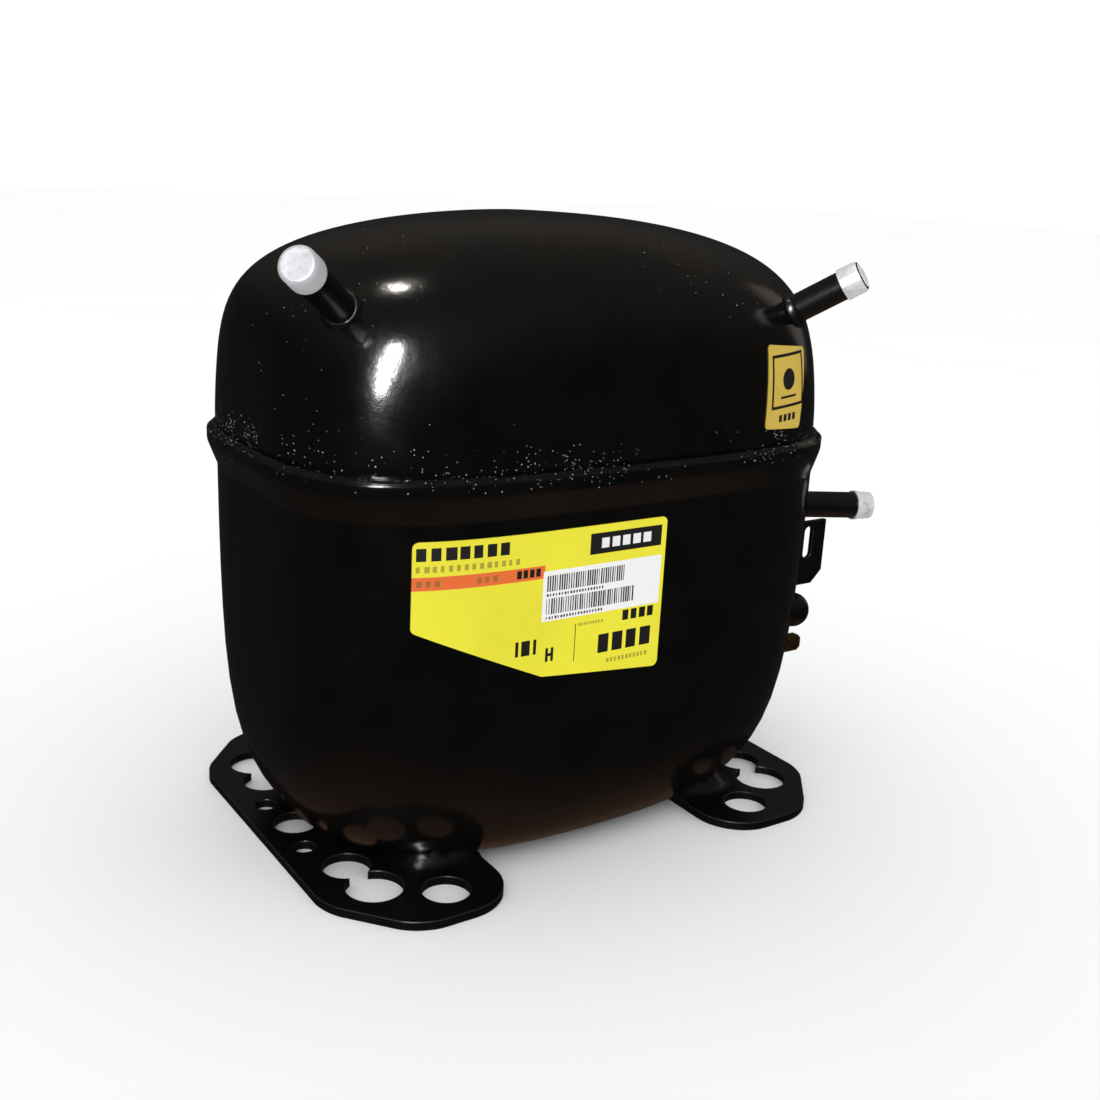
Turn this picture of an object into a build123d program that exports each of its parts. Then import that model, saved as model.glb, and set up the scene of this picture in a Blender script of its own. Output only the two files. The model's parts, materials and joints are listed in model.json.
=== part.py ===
"""Hermetic reciprocating compressor, millimetres, +Z up.

The origin is the middle of the underside of the two base feet. +X is the end with the
electrical terminal, -Y is the side with the rating label. The welded steel can holds a
spring-mounted pump unit: a motor below, and above it a cylinder block with a scotch yoke.
"""
from build123d import *
from math import cos, pi, radians, sin, sqrt
import os

# ---- overall sizes of the can -----------------------------------------------------------
total_height = 211.0
half_length = 102.2
half_width = 66.5
wall = 3.0
floor_z = 3.0
crease_z = 124.0
rim_z = 137.0
rim_height = 4.0
rim_flare = 4.2
rim_wall = 2.8
joint_lap = 8.0
joint_gap = 0.2
upper_start_z = 141.0
upper_step = 2.2
crown_share = 0.998
ring_steps = 40

# ---- base feet --------------------------------------------------------------------------
foot_thickness = 3.0
foot_outer_x = 101.3
foot_reach_y = 78.3
foot_inner_x = 43.0
foot_corner = 18.0
foot_chamfer_x = 80.0
foot_chamfer_y = 53.0
foot_arch_x = 77.0
foot_arch_y = 17.0
foot_arch_end_y = 36.0
foot_tab_width = 9.0
foot_tab_x = 62.0
seat_rise = 9.0
seat_size = (32.0, 26.0)
seat_corner = 9.0
seat_slope = 22.0
seat_place = (62.0, 45.0)
bolt_a = (85.0, 35.0, 8.0)
bolt_b = (82.55, 50.8, 9.5)
bolt_c = (63.5, 63.5, 8.0)
centre_hole = (88.0, 0.0, 7.5)
rivet_hole = (92.0, 17.0, 3.8)

# ---- pipe connectors and their caps -----------------------------------------------------
tube_radius = 5.0
tube_wall = 1.2
tube_inside = 6.0
suction_outside = 36.8
process_outside = 25.8
discharge_outside = 33.4
collar_width = 1.5
collar_height = 1.6
shell_bore_gap = 0.15
cap_wall = 0.55
cap_gap = 0.1
cap_length = 8.0
cap_end = 1.0
suction_foot = (-89.0, -37.9, 184.3)
suction_aim = (-0.639, -0.659, 0.396)
process_foot = (76.4, -50.0, 182.2)
process_aim = (0.513, -0.68, 0.524)
discharge_foot = (100.2, -34.0, 106.5)
discharge_aim = (0.953, -0.301, -0.041)

# ---- electrical end ---------------------------------------------------------------------
terminal_z = 85.0
terminal_radius = 15.8
terminal_rim = 2.4
terminal_floor = 3.0
pin_circle = 6.5
pin_radius = 1.5
pin_length = 30.0
glass_radius = 3.4
wing_y = 33.0
wing_sheet = 1.8
wing_reach = 17.5
wing_z = (73.0, 98.5)
wing_foot = 11.0
wing_slot = (4.4, 13.0)
earth_boss = (98.0, -40.0, 66.0)
earth_boss_radius = 6.6
earth_boss_height = 8.5
earth_tab_z = 54.0
earth_tab_y = -44.0

# ---- labels -----------------------------------------------------------------------------
label_film = 0.3
label_gap = 0.05
label_left = -76.6
label_right = 13.2
label_top = 119.3
label_bottom_right = 67.4
label_bottom_mid = 71.6
label_mid_x = -33.0
label_bottom_left = 91.2
sticker_corners = ((52.4, 145.0), (72.6, 143.4), (76.4, 170.6), (53.2, 172.9))

# ---- motor ------------------------------------------------------------------------------
stator_half = 58.0
stator_corner = 22.0
stator_bottom = 50.0
stator_stack = 50.0
stator_bore = 32.0
air_gap = 0.5
slot_count = 24
slot_width = 4.2
slot_depth = 12.0
slot_gap = 0.2
winding_outer = 50.0
winding_inner = 34.5
winding_height = 16.5
winding_gap = 0.5
cage_bars = 18
cage_bar_radius = 2.2
cage_bar_circle = 27.0
cage_ring_inner = 20.0
cage_ring_height = 6.0
fixing_x = 48.0
fixing_y = 38.0
fixing_bolt = 3.0
fixing_clearance = 0.25
bolt_head_height = 5.0
bolt_head_radius = 5.2

# ---- crank and yoke ---------------------------------------------------------------------
throw = 9.0
journal_radius = 9.0
journal_gap = 0.02
bush_wall = 2.0
crankpin_radius = 7.0
disc_height = 7.0
disc_radius = 20.0
washer_height = 1.5
weight_radius = 27.0
weight_gap = 1.0
hub_bottom = 109.0
hub_radius = 17.0
plate_z = (119.0, 130.0)
hub_rise = 1.5
shaft_bottom = 40.0
oil_bore_radius = 4.0
pickup_bottom = 15.0
plug_radius = 1.3
plug_depth = 3.0
yoke_axis_lift = 18.0
slider_radius = 12.0
slider_length = 26.0
slider_gap = 0.04
yoke_wall = 3.5
yoke_length = 46.0
yoke_slot_gap = 1.0

# ---- cylinder and valves ----------------------------------------------------------------
bore_radius = 16.5
piston_gap = 0.02
piston_crown = 50.0
piston_tail = 12.0
barrel_radius = 25.0
yoke_clearance = 1.0
head_clearance = 1.0
flange_half = 29.0
flange_thickness = 10.0
gasket_sheet = 0.5
reed_sheet = 0.4
valve_plate_sheet = 4.0
head_thickness = 18.0
head_cavity = 11.0
head_bolt_offset = 22.0
suction_port = (0.0, 9.0, 3.5)
discharge_port = (0.0, -7.0, 3.0)
block_half_x = 60.0
block_half_y = 52.0
leg_radius = 9.0

# ---- springs and inside pipes -----------------------------------------------------------
spring_radius = 7.0
spring_wire = 0.9
spring_turns = 5.0
spring_seat_radius = 11.0
spring_peg_radius = 5.4
seat_height = 9.0
peg_height = 9.0
cup_height = 7.0
muffler_centre = (44.0, -26.0)
muffler_radius = 15.0
muffler_height = 22.0
pipe_radius = 2.5
lead_gap = 0.3

# ---- what follows from them -------------------------------------------------------------
stator_top = stator_bottom + stator_stack
disc_bottom = plate_z[1] + hub_rise + washer_height
disc_top = disc_bottom + disc_height
yoke_z = disc_top + yoke_axis_lift
crankpin_top = yoke_z + sqrt(slider_radius ** 2 - crankpin_radius ** 2) - 0.5
rest_angle = radians(90.0)
pin_x = throw * cos(rest_angle)
pin_y = throw * sin(rest_angle)
yoke_outer = slider_radius + slider_gap + yoke_wall
valve_face_x = -(piston_crown + throw + head_clearance)
barrel_end_x = -(yoke_outer + throw + yoke_clearance)
plate_face_x = valve_face_x - gasket_sheet - reed_sheet
plate_back_x = plate_face_x - valve_plate_sheet
head_face_x = plate_back_x - gasket_sheet
head_back_x = head_face_x - head_thickness
peg_bottom = stator_bottom - cup_height - peg_height


# ---- helpers ----------------------------------------------------------------------------
def ring_wire(half_x, half_y, power, z):
    """A closed rounded-rectangle curve: |x/a|^n + |y/b|^n = 1."""
    points = []
    for step in range(ring_steps):
        angle = 2 * pi * step / ring_steps
        reach = (abs(cos(angle)) ** power + abs(sin(angle)) ** power) ** (-1 / power)
        points.append((half_x * cos(angle) * reach, half_y * sin(angle) * reach, z))
    return Wire([Edge.make_spline(points, periodic=True)])


def lower_section(z, inset, depth):
    """Outline of the lower shell at height z, moved in by inset."""
    drop = max((crease_z - z) / depth, 0.0)
    half_x = (half_length - inset) * (1 - drop ** 5.8) ** (1 / 6.37)
    half_y = (half_width - inset) * (1 - drop ** 7.27) ** (1 / 4.73)
    return ring_wire(half_x, half_y, 3.97 - 1.61 * drop ** 2.21, z)


def upper_section(z, inset, rise):
    """Outline of the upper shell at height z, moved in by inset."""
    climb = crown_share * (z - upper_start_z) / rise
    half_x = (half_length + upper_step - inset) * (1 - climb ** 5.7) ** (1 / 1.89)
    half_y = (half_width + upper_step - inset) * (1 - climb ** 3.36) ** (1 / 2.93)
    return ring_wire(half_x, half_y, 3.31 - 1.5 * climb ** 1.36, z)


def lower_can(inset):
    """Solid body of the lower can up to its crease."""
    depth = crease_z - floor_z + 5.6 - inset
    bottom = floor_z + inset
    shares = (0.0, 0.012, 0.03, 0.06, 0.1, 0.16, 0.25, 0.4, 0.6, 0.8, 1.0)
    heights = [bottom + share * (crease_z - bottom) for share in shares]
    return Solid.make_loft([lower_section(z, inset, depth) for z in heights])


def upper_can(inset):
    """Solid body of the dome from its straight start to the crown."""
    rise = total_height - inset - upper_start_z
    shares = (0.0, 0.2, 0.36, 0.5, 0.6, 0.7, 0.79, 0.86, 0.91, 0.95, 0.975, 0.99, 1.0)
    return Solid.make_loft([upper_section(upper_start_z + share * rise, inset, rise) for share in shares])


def collar_wall(outer, inner, z_low, z_high):
    """A straight ring between two rounded-rectangle outlines."""
    outside = Solid.make_loft([ring_wire(*outer, z_low), ring_wire(*outer, z_high)], True)
    inside = Solid.make_loft([ring_wire(*inner, z_low - 1), ring_wire(*inner, z_high + 1)], True)
    return outside - inside


def cylinder_at(point, direction, radius, length, start=0.0):
    """A round bar that starts at point + start and runs along direction."""
    plane = Plane(origin=point, z_dir=direction)
    bar = Cylinder(radius, length, align=(Align.CENTER, Align.CENTER, Align.MIN))
    return plane * Pos(0, 0, start) * bar


def upright(x, y, z, radius, height):
    """A vertical round bar standing on (x, y, z)."""
    bar = Cylinder(radius, height, align=(Align.CENTER, Align.CENTER, Align.MIN))
    return Pos(x, y, z) * bar


def box_between(low, high):
    """A box between two opposite corners."""
    size = [high[axis] - low[axis] for axis in range(3)]
    middle = [(high[axis] + low[axis]) / 2 for axis in range(3)]
    return Pos(*middle) * Box(*size)


def across(x, y, z, radius, length):
    """A round bar along Y, centred on the point."""
    return Pos(x, y, z) * Rot(90, 0, 0) * Cylinder(radius, length)


def along(x_low, x_high, y, z, radius):
    """A round bar along X between two places."""
    middle = (x_low + x_high) / 2
    return Pos(middle, y, z) * Rot(0, 90, 0) * Cylinder(radius, x_high - x_low)


def save(shape, name):
    """Write one node; several separate solids stay together as a group."""
    solids = shape.solids() if hasattr(shape, "solids") else [shape]
    whole = solids[0] if len(solids) == 1 else Compound(children=list(solids))
    export_step(whole, "parts/" + name + ".step")


def four_corners(x, y):
    """The four places (+-x, +-y)."""
    return [(sx * x, sy * y) for sx in (-1, 1) for sy in (-1, 1)]


# ---- the can ----------------------------------------------------------------------------
rim_power = 3.5
rim_outer = (half_length + rim_flare, half_width + rim_flare, rim_power)
rim_inner = (rim_outer[0] - rim_wall, rim_outer[1] - rim_wall, rim_power)
skirt_outer = (rim_inner[0] - joint_gap, rim_inner[1] - joint_gap, rim_power)
skirt_inner = (skirt_outer[0] - wall, skirt_outer[1] - wall, rim_power)
lap_z = rim_z - joint_lap


def make_lower_outside():
    body = lower_can(0.0)
    start = lower_section(crease_z, 0.0, crease_z - floor_z + 5.6)
    flare = Solid.make_loft([start, ring_wire(*rim_outer, rim_z - rim_height)], True)
    rim = Solid.make_loft([ring_wire(*rim_outer, rim_z - rim_height), ring_wire(*rim_outer, rim_z)], True)
    return body + flare + rim


def make_lower_shell(outside):
    hollow = lower_can(wall)
    throat_start = lower_section(crease_z, wall, crease_z - floor_z + 5.6 - wall)
    throat = Solid.make_loft([throat_start, ring_wire(*skirt_inner, lap_z)], True)
    lap = Solid.make_loft([ring_wire(*rim_inner, lap_z), ring_wire(*rim_inner, rim_z + 1)], True)
    shell = outside - hollow - throat - lap
    shell -= cylinder_at(discharge_foot, discharge_aim, tube_radius + shell_bore_gap, 30, -15)
    shell -= along(half_length - 9, half_length + 5, 0, terminal_z, terminal_radius + shell_bore_gap)
    return shell


def make_upper_outside():
    skirt = Solid.make_loft([ring_wire(*skirt_outer, lap_z), ring_wire(*skirt_outer, rim_z + 1.5)], True)
    neck_rings = [ring_wire(*skirt_outer, rim_z + 1.5), upper_section(upper_start_z, 0.0, 70.0)]
    return skirt + Solid.make_loft(neck_rings, True) + upper_can(0.0)


def make_upper_shell(outside):
    throat = Solid.make_loft([ring_wire(*skirt_inner, lap_z - 1), ring_wire(*skirt_inner, rim_z + 1.5)], True)
    neck_rings = [ring_wire(*skirt_inner, rim_z + 1.5), upper_section(upper_start_z, wall, 67.0)]
    shell = outside - throat - Solid.make_loft(neck_rings, True) - upper_can(wall)
    for foot, aim in ((suction_foot, suction_aim), (process_foot, process_aim)):
        shell -= cylinder_at(foot, aim, tube_radius + shell_bore_gap, 40, -20)
    return shell


def make_seam_weld():
    bead_low = (rim_outer[0] - 0.6, rim_outer[1] - 0.6, rim_power)
    bead_high = (rim_outer[0] - 1.7, rim_outer[1] - 1.7, rim_power)
    inner = (skirt_outer[0] + 0.02, skirt_outer[1] + 0.02, rim_power)
    rings = [ring_wire(*bead_low, rim_z), ring_wire(*bead_high, rim_z + 1.5)]
    inside = Solid.make_loft([ring_wire(*inner, rim_z - 1), ring_wire(*inner, rim_z + 3)], True)
    return Solid.make_loft(rings, True) - inside


# ---- base feet --------------------------------------------------------------------------
def foot_outline():
    """Outer edge of the right-hand foot, front half mirrored to the back."""
    half = [(foot_outer_x, foot_chamfer_y), (foot_chamfer_x, foot_reach_y)]
    half += [(foot_inner_x, foot_reach_y), (foot_inner_x, foot_arch_end_y)]
    mirrored = [(x, -y) for x, y in reversed(half)]
    return half, mirrored


def make_foot(side, shell_outside):
    half, mirrored = foot_outline()
    corners = half + [(foot_arch_x, foot_arch_y), (foot_arch_x, -foot_arch_y)] + mirrored
    sketch = make_face(Polyline(*corners, close=True))
    round_points = [v for v in sketch.vertices() if abs(v.Y) > foot_chamfer_y - 1]
    sketch = fillet(round_points, foot_corner)
    inner_points = [v for v in sketch.vertices() if abs(v.Y) < foot_arch_end_y + 1 and v.X < foot_outer_x - 1]
    sketch = fillet(inner_points, 6.0)
    plate = extrude(sketch, foot_thickness)
    top_edges = plate.edges().filter_by(Plane.XY).group_by(Axis.Z)[-1]
    plate = fillet(top_edges, 0.8)
    tab = box_between((foot_tab_x, -foot_tab_width / 2, 0), (foot_arch_x + 2, foot_tab_width / 2, foot_thickness - 0.02))
    plate += tab
    for sign in (-1, 1):
        seat = extrude(RectangleRounded(*seat_size, seat_corner), seat_rise, taper=seat_slope)
        plate += Pos(seat_place[0], sign * seat_place[1], foot_thickness - 0.5) * seat
        for x, y, radius in (bolt_a, bolt_b, bolt_c, rivet_hole):
            plate -= upright(x, sign * y, -1, radius, foot_thickness + 2)
    plate -= upright(centre_hole[0], centre_hole[1], -1, centre_hole[2], foot_thickness + 2)
    plate -= shell_outside
    if side < 0:
        plate = mirror(plate, about=Plane.YZ)
    return plate.solids().sort_by(SortBy.VOLUME)[-1]


# ---- connectors -------------------------------------------------------------------------
connectors = {
    "suction": (suction_foot, suction_aim, suction_outside),
    "process": (process_foot, process_aim, process_outside),
    "discharge": (discharge_foot, discharge_aim, discharge_outside),
}


def make_tube(foot, aim, reach):
    outer = cylinder_at(foot, aim, tube_radius, reach + tube_inside, -tube_inside)
    return outer - cylinder_at(foot, aim, tube_radius - tube_wall, reach + tube_inside + 2, -tube_inside - 1)


def make_collar(foot, aim, outside):
    ring = cylinder_at(foot, aim, tube_radius + collar_width, collar_height + 8, -8)
    ring = ring - cylinder_at(foot, aim, tube_radius + 0.02, collar_height + 12, -10)
    return (ring - outside).solids().sort_by(SortBy.VOLUME)[-1]


def make_cap(foot, aim, reach):
    radius = tube_radius + cap_gap + cap_wall
    plane = Plane(origin=foot, z_dir=aim)
    cup = Cylinder(radius, cap_length, align=(Align.CENTER, Align.CENTER, Align.MIN))
    cup = fillet(cup.edges().group_by(Axis.Z)[-1], 1.4)
    bore = Cylinder(tube_radius + cap_gap, cap_length - cap_end, align=(Align.CENTER, Align.CENTER, Align.MIN))
    return plane * Pos(0, 0, reach + cap_gap + cap_end - cap_length) * (cup - bore)


# ---- electrical end ---------------------------------------------------------------------
pin_places = [
    (pin_circle * cos(2 * pi * step / 3 + pi / 2), terminal_z + pin_circle * sin(2 * pi * step / 3 + pi / 2))
    for step in range(3)
]
terminal_face_x = half_length + 2.5


def make_terminal_body():
    rim_x = half_length - wall - 0.5
    cup = along(rim_x, terminal_face_x, 0, terminal_z, terminal_radius)
    cup += along(rim_x - terminal_rim, rim_x, 0, terminal_z, terminal_radius + terminal_rim)
    cup -= along(rim_x - 5, terminal_face_x - terminal_floor, 0, terminal_z, terminal_radius - terminal_rim)
    for y, z in pin_places:
        cup -= along(rim_x, terminal_face_x + 1, y, z, glass_radius)
    return cup


def make_terminal_glass():
    beads = []
    for y, z in pin_places:
        bead = along(terminal_face_x - terminal_floor, terminal_face_x, y, z, glass_radius)
        beads.append(bead - along(terminal_face_x - 9, terminal_face_x + 9, y, z, pin_radius))
    return Compound(children=beads)


def make_terminal_pins():
    start = terminal_face_x - 15
    return Compound(children=[along(start, start + pin_length, y, z, pin_radius) for y, z in pin_places])


def make_wing(sign, shell_outside):
    outer_x = half_length + wing_reach
    low, high = wing_z
    corners = [(half_length - 6, low), (outer_x - 5, low), (outer_x, low + 5), (outer_x, high), (half_length - 6, high)]
    face = Plane.XZ * make_face(Polyline(*corners, close=True))
    wing = Pos(0, wing_y + wing_sheet, 0) * extrude(face, wing_sheet)
    slot_x = half_length + wing_reach / 2
    slot = box_between((slot_x - wing_slot[0] / 2, wing_y - 1, high - 2 - wing_slot[1]),
                       (slot_x + wing_slot[0] / 2, wing_y + wing_sheet + 1, high - 2))
    wing -= fillet(slot.edges().filter_by(Axis.Y), wing_slot[0] / 2 - 0.05)
    wing += box_between((half_length - 6, wing_y - wing_foot, low), (half_length + wing_sheet, wing_y + 0.5, high))
    wing -= shell_outside
    wing = wing.solids().sort_by(SortBy.VOLUME)[-1]
    return wing if sign > 0 else mirror(wing, about=Plane.XZ)


def make_earth_boss(shell_outside):
    aim = Vector(0.93, -0.36, 0).normalized()
    stem = Cylinder(earth_boss_radius, earth_boss_height + 5, align=(Align.CENTER, Align.CENTER, Align.MIN))
    stem = fillet(stem.edges().group_by(Axis.Z)[-1], earth_boss_radius - 0.3)
    boss = Plane(origin=earth_boss, z_dir=aim) * Pos(0, 0, -5) * stem
    return (boss - shell_outside).solids().sort_by(SortBy.VOLUME)[-1]


def make_earth_tab(shell_outside):
    blade = box_between((90, earth_tab_y - 1.5, earth_tab_z - 3.1), (101.5, earth_tab_y + 1.5, earth_tab_z + 3.1))
    blade = chamfer(blade.edges().filter_by(Axis.Y).group_by(Axis.X)[-1], 1.4)
    return (blade - shell_outside).solids().sort_by(SortBy.VOLUME)[-1]


# ---- labels -----------------------------------------------------------------------------
def film_between(corners, radius, inner, outer):
    """A thin film of the given outline that follows the front of the can."""
    face = fillet(make_face(Polyline(*corners, close=True)).vertices(), radius)
    prism = Pos(0, -20, 0) * extrude(Plane.XZ * face, 80)
    return ((outer & prism) - inner).solids().sort_by(SortBy.VOLUME)[-1]


def make_rating_label():
    corners = [(label_left, label_bottom_left), (label_mid_x, label_bottom_mid)]
    corners += [(label_right, label_bottom_right), (label_right, label_top), (label_left, label_top)]
    return film_between(corners, 2.0, lower_can(-label_gap), lower_can(-label_gap - label_film))


def make_side_label():
    return film_between(sticker_corners, 1.5, upper_can(-label_gap), upper_can(-label_gap - label_film))


# ---- motor ------------------------------------------------------------------------------
def slot_bars(width, inner, outer, z_low, z_high):
    bar = box_between((inner, -width / 2, z_low), (outer, width / 2, z_high))
    return [Rot(0, 0, 360 * step / slot_count) * bar for step in range(slot_count)]


def make_stator_core():
    outline = RectangleRounded(2 * stator_half, 2 * stator_half, stator_corner)
    core = Pos(0, 0, stator_bottom) * extrude(outline, stator_stack)
    core -= upright(0, 0, stator_bottom - 1, stator_bore, stator_stack + 2)
    core -= slot_bars(slot_width, stator_bore - 1, stator_bore + 2 + slot_depth, stator_bottom - 1, stator_top + 1)
    for x, y in four_corners(fixing_x, fixing_y):
        core -= upright(x, y, stator_bottom - 1, fixing_bolt + fixing_clearance, stator_stack + 2)
    return core


def end_winding(z):
    ring = upright(0, 0, z, winding_outer, winding_height) - upright(0, 0, z - 1, winding_inner, winding_height + 2)
    return fillet(ring.edges(), 5.0)


def make_stator_windings():
    top = end_winding(stator_top + winding_gap)
    bottom = end_winding(stator_bottom - winding_gap - winding_height)
    inner = stator_bore + 2.5
    outer = stator_bore + 2 + slot_depth - slot_gap
    low = stator_bottom - winding_gap - 6
    high = stator_top + winding_gap + 6
    windings = top + bottom
    windings += slot_bars(slot_width - 2 * slot_gap, inner + 1, outer, low, high)
    return windings


def make_rotor_core():
    core = upright(0, 0, stator_bottom, stator_bore - air_gap, stator_stack)
    core -= upright(0, 0, stator_bottom - 1, journal_radius, stator_stack + 2)
    for step in range(cage_bars):
        angle = 2 * pi * step / cage_bars
        place = (cage_bar_circle * cos(angle), cage_bar_circle * sin(angle))
        core -= upright(*place, stator_bottom - 1, cage_bar_radius, stator_stack + 2)
    return core


def make_rotor_cage():
    outer = stator_bore - air_gap - 1.0
    cage = upright(0, 0, stator_top, outer, cage_ring_height)
    cage += upright(0, 0, stator_bottom - cage_ring_height, outer, cage_ring_height)
    cage -= upright(0, 0, stator_bottom - 20, cage_ring_inner, stator_stack + 40)
    for step in range(cage_bars):
        angle = 2 * pi * step / cage_bars
        place = (cage_bar_circle * cos(angle), cage_bar_circle * sin(angle))
        cage += upright(*place, stator_bottom - 1, cage_bar_radius, stator_stack + 2)
    return cage


def make_stator_bolts():
    bolts = []
    for x, y in four_corners(fixing_x, fixing_y):
        bolt = upright(x, y, stator_bottom, fixing_bolt, stator_stack + 12)
        head = extrude(Pos(x, y) * RegularPolygon(bolt_head_radius, 6), bolt_head_height)
        bolts.append(bolt + Pos(0, 0, stator_bottom - bolt_head_height) * head)
    return Compound(children=bolts)


# ---- cylinder block ---------------------------------------------------------------------
def make_cylinder_block():
    outline = RectangleRounded(2 * block_half_x, 2 * block_half_y, 14)
    block = Pos(0, 0, plate_z[0]) * extrude(outline, plate_z[1] - plate_z[0])
    for x, y in four_corners(fixing_x, fixing_y):
        block += upright(x, y, stator_top, leg_radius, plate_z[0] - stator_top + 1)
    block += along(valve_face_x, barrel_end_x, 0, yoke_z, barrel_radius)
    flange = box_between((valve_face_x, -flange_half, yoke_z - flange_half),
                         (valve_face_x + flange_thickness, flange_half, yoke_z + flange_half))
    block += fillet(flange.edges().filter_by(Axis.X), 7.0)
    block += box_between((valve_face_x, -20, plate_z[0] + 2), (barrel_end_x, 20, yoke_z - 5))
    block -= along(valve_face_x - 1, barrel_end_x + 1, 0, yoke_z, bore_radius)
    block -= upright(0, 0, plate_z[1], weight_radius + weight_gap, disc_top + weight_gap / 2 - plate_z[1])
    block += upright(0, 0, hub_bottom, hub_radius, plate_z[1] + hub_rise - hub_bottom)
    block -= upright(0, 0, hub_bottom - 1, journal_radius + bush_wall, 40)
    for x, y in four_corners(fixing_x, fixing_y):
        block -= upright(x, y, stator_top - 1, fixing_bolt + 0.02, 14)
    for y, z in four_corners(head_bolt_offset, head_bolt_offset):
        block -= along(valve_face_x - 1, valve_face_x + 12, y, yoke_z + z, fixing_bolt + 0.02)
    return block


def make_main_bush():
    length = plate_z[1] + hub_rise - hub_bottom
    bush = upright(0, 0, hub_bottom, journal_radius + bush_wall - 0.02, length)
    return bush - upright(0, 0, hub_bottom - 1, journal_radius + journal_gap, length + 2)


def make_thrust_washer():
    washer = upright(0, 0, plate_z[1] + hub_rise, hub_radius - 2, washer_height - 0.05)
    return washer - upright(0, 0, plate_z[1], journal_radius + 0.3, 8)


def plate_stack(x_low, x_high, ports):
    """A square sheet of the head stack with its four bolt holes and round ports."""
    sheet = box_between((x_low, -flange_half, yoke_z - flange_half), (x_high, flange_half, yoke_z + flange_half))
    sheet = fillet(sheet.edges().filter_by(Axis.X), 7.0)
    for y, z in four_corners(head_bolt_offset, head_bolt_offset):
        sheet -= along(x_low - 1, x_high + 1, y, yoke_z + z, fixing_bolt + 0.4)
    for y, z, radius in ports:
        sheet -= along(x_low - 1, x_high + 1, y, yoke_z + z, radius)
    return sheet


def make_suction_reed():
    sheet = plate_stack(plate_face_x, plate_face_x + reed_sheet, [(0, 0, bore_radius - 1)])
    tongue = box_between((plate_face_x, -4.5, yoke_z), (plate_face_x + reed_sheet, 4.5, yoke_z + bore_radius))
    return sheet + tongue + along(plate_face_x, plate_face_x + reed_sheet, 0, yoke_z + suction_port[1] - 6, 5.0)


def make_discharge_strip(x_low, sheet, width):
    strip = box_between((x_low, -width / 2, yoke_z - 17.5), (x_low + sheet, width / 2, yoke_z - 2.6))
    return strip - along(x_low - 1, x_low + sheet + 1, 0, yoke_z - 15, 1.1)


def head_cavity_cut(sign):
    """One of the two gas rooms inside the head: suction above, discharge below."""
    room = box_between((head_face_x - head_cavity, -flange_half + 6, 2.2), (head_face_x + 1, flange_half - 6, 18))
    return Pos(0, 0, yoke_z) * (room if sign > 0 else mirror(room, about=Plane.XY))


def make_cylinder_head():
    head = plate_stack(head_back_x, head_face_x, [])
    head = head - head_cavity_cut(1) - head_cavity_cut(-1)
    middle_x = (head_face_x + head_back_x) / 2
    head -= Pos(middle_x, flange_half - 4, yoke_z + 9) * Rot(90, 0, 0) * Cylinder(5.0, 14)
    head -= Pos(middle_x, -flange_half + 4, yoke_z - 9) * Rot(90, 0, 0) * Cylinder(pipe_radius + 0.05, 14)
    return head


def make_head_gasket():
    room = (flange_half - 6, 2.2, 18)
    sheet = plate_stack(head_face_x, plate_back_x, [])
    for sign in (-1, 1):
        low = min(sign * room[1], sign * room[2])
        high = max(sign * room[1], sign * room[2])
        sheet -= box_between((head_face_x - 1, -room[0], yoke_z + low), (plate_back_x + 1, room[0], yoke_z + high))
    return sheet


def make_head_bolts():
    bolts = []
    for y, z in four_corners(head_bolt_offset, head_bolt_offset):
        shank = along(head_back_x, valve_face_x + 10, y, yoke_z + z, fixing_bolt)
        hexagon = Plane.YZ * (Pos(y, yoke_z + z) * RegularPolygon(bolt_head_radius, 6))
        bolts.append(shank + Pos(head_back_x - bolt_head_height, 0, 0) * extrude(hexagon, bolt_head_height))
    return Compound(children=bolts)


# ---- crank train ------------------------------------------------------------------------
def make_crankshaft():
    shaft = upright(0, 0, shaft_bottom, journal_radius, disc_bottom - shaft_bottom)
    shaft += upright(0, 0, disc_bottom, disc_radius, disc_height)
    shaft += upright(pin_x, pin_y, disc_top, crankpin_radius, crankpin_top - disc_top)
    shaft -= upright(0, 0, shaft_bottom - 1, oil_bore_radius, 25)
    shaft -= upright(pin_x / 2, pin_y / 2, shaft_bottom + 20, plug_radius, crankpin_top)
    return shaft


def make_counterweight():
    weight = upright(0, 0, disc_bottom, weight_radius, disc_height - 0.5)
    weight -= upright(0, 0, disc_bottom - 1, disc_radius, disc_height + 2)
    weight &= box_between((-50, -50, 0), (50, -4, 200))
    return weight


def make_oil_pickup():
    inside = shaft_bottom + 12
    tube = upright(0, 0, pickup_bottom + 12, oil_bore_radius, inside - pickup_bottom - 12)
    nose = Cone(2.4, oil_bore_radius, 12, align=(Align.CENTER, Align.CENTER, Align.MIN))
    tube += Pos(0, 0, pickup_bottom) * nose
    return tube - upright(0, 0, pickup_bottom - 1, 1.4, 60)


def make_oil_bore_plug():
    return upright(pin_x / 2, pin_y / 2, crankpin_top - plug_depth, plug_radius, plug_depth)


def make_slider_block():
    block = across(pin_x, pin_y, yoke_z, slider_radius, slider_length)
    return block - upright(pin_x, pin_y, yoke_z - 20, crankpin_radius + journal_gap, 40)


def make_yoke_tube():
    tube = across(pin_x, 0, yoke_z, yoke_outer, yoke_length)
    tube -= across(pin_x, 0, yoke_z, slider_radius + slider_gap, yoke_length + 2)
    half_slot = crankpin_radius + yoke_slot_gap
    slot = box_between((pin_x - half_slot, -throw - half_slot, yoke_z - 30), (pin_x + half_slot, throw + half_slot, yoke_z))
    return tube - slot


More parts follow.
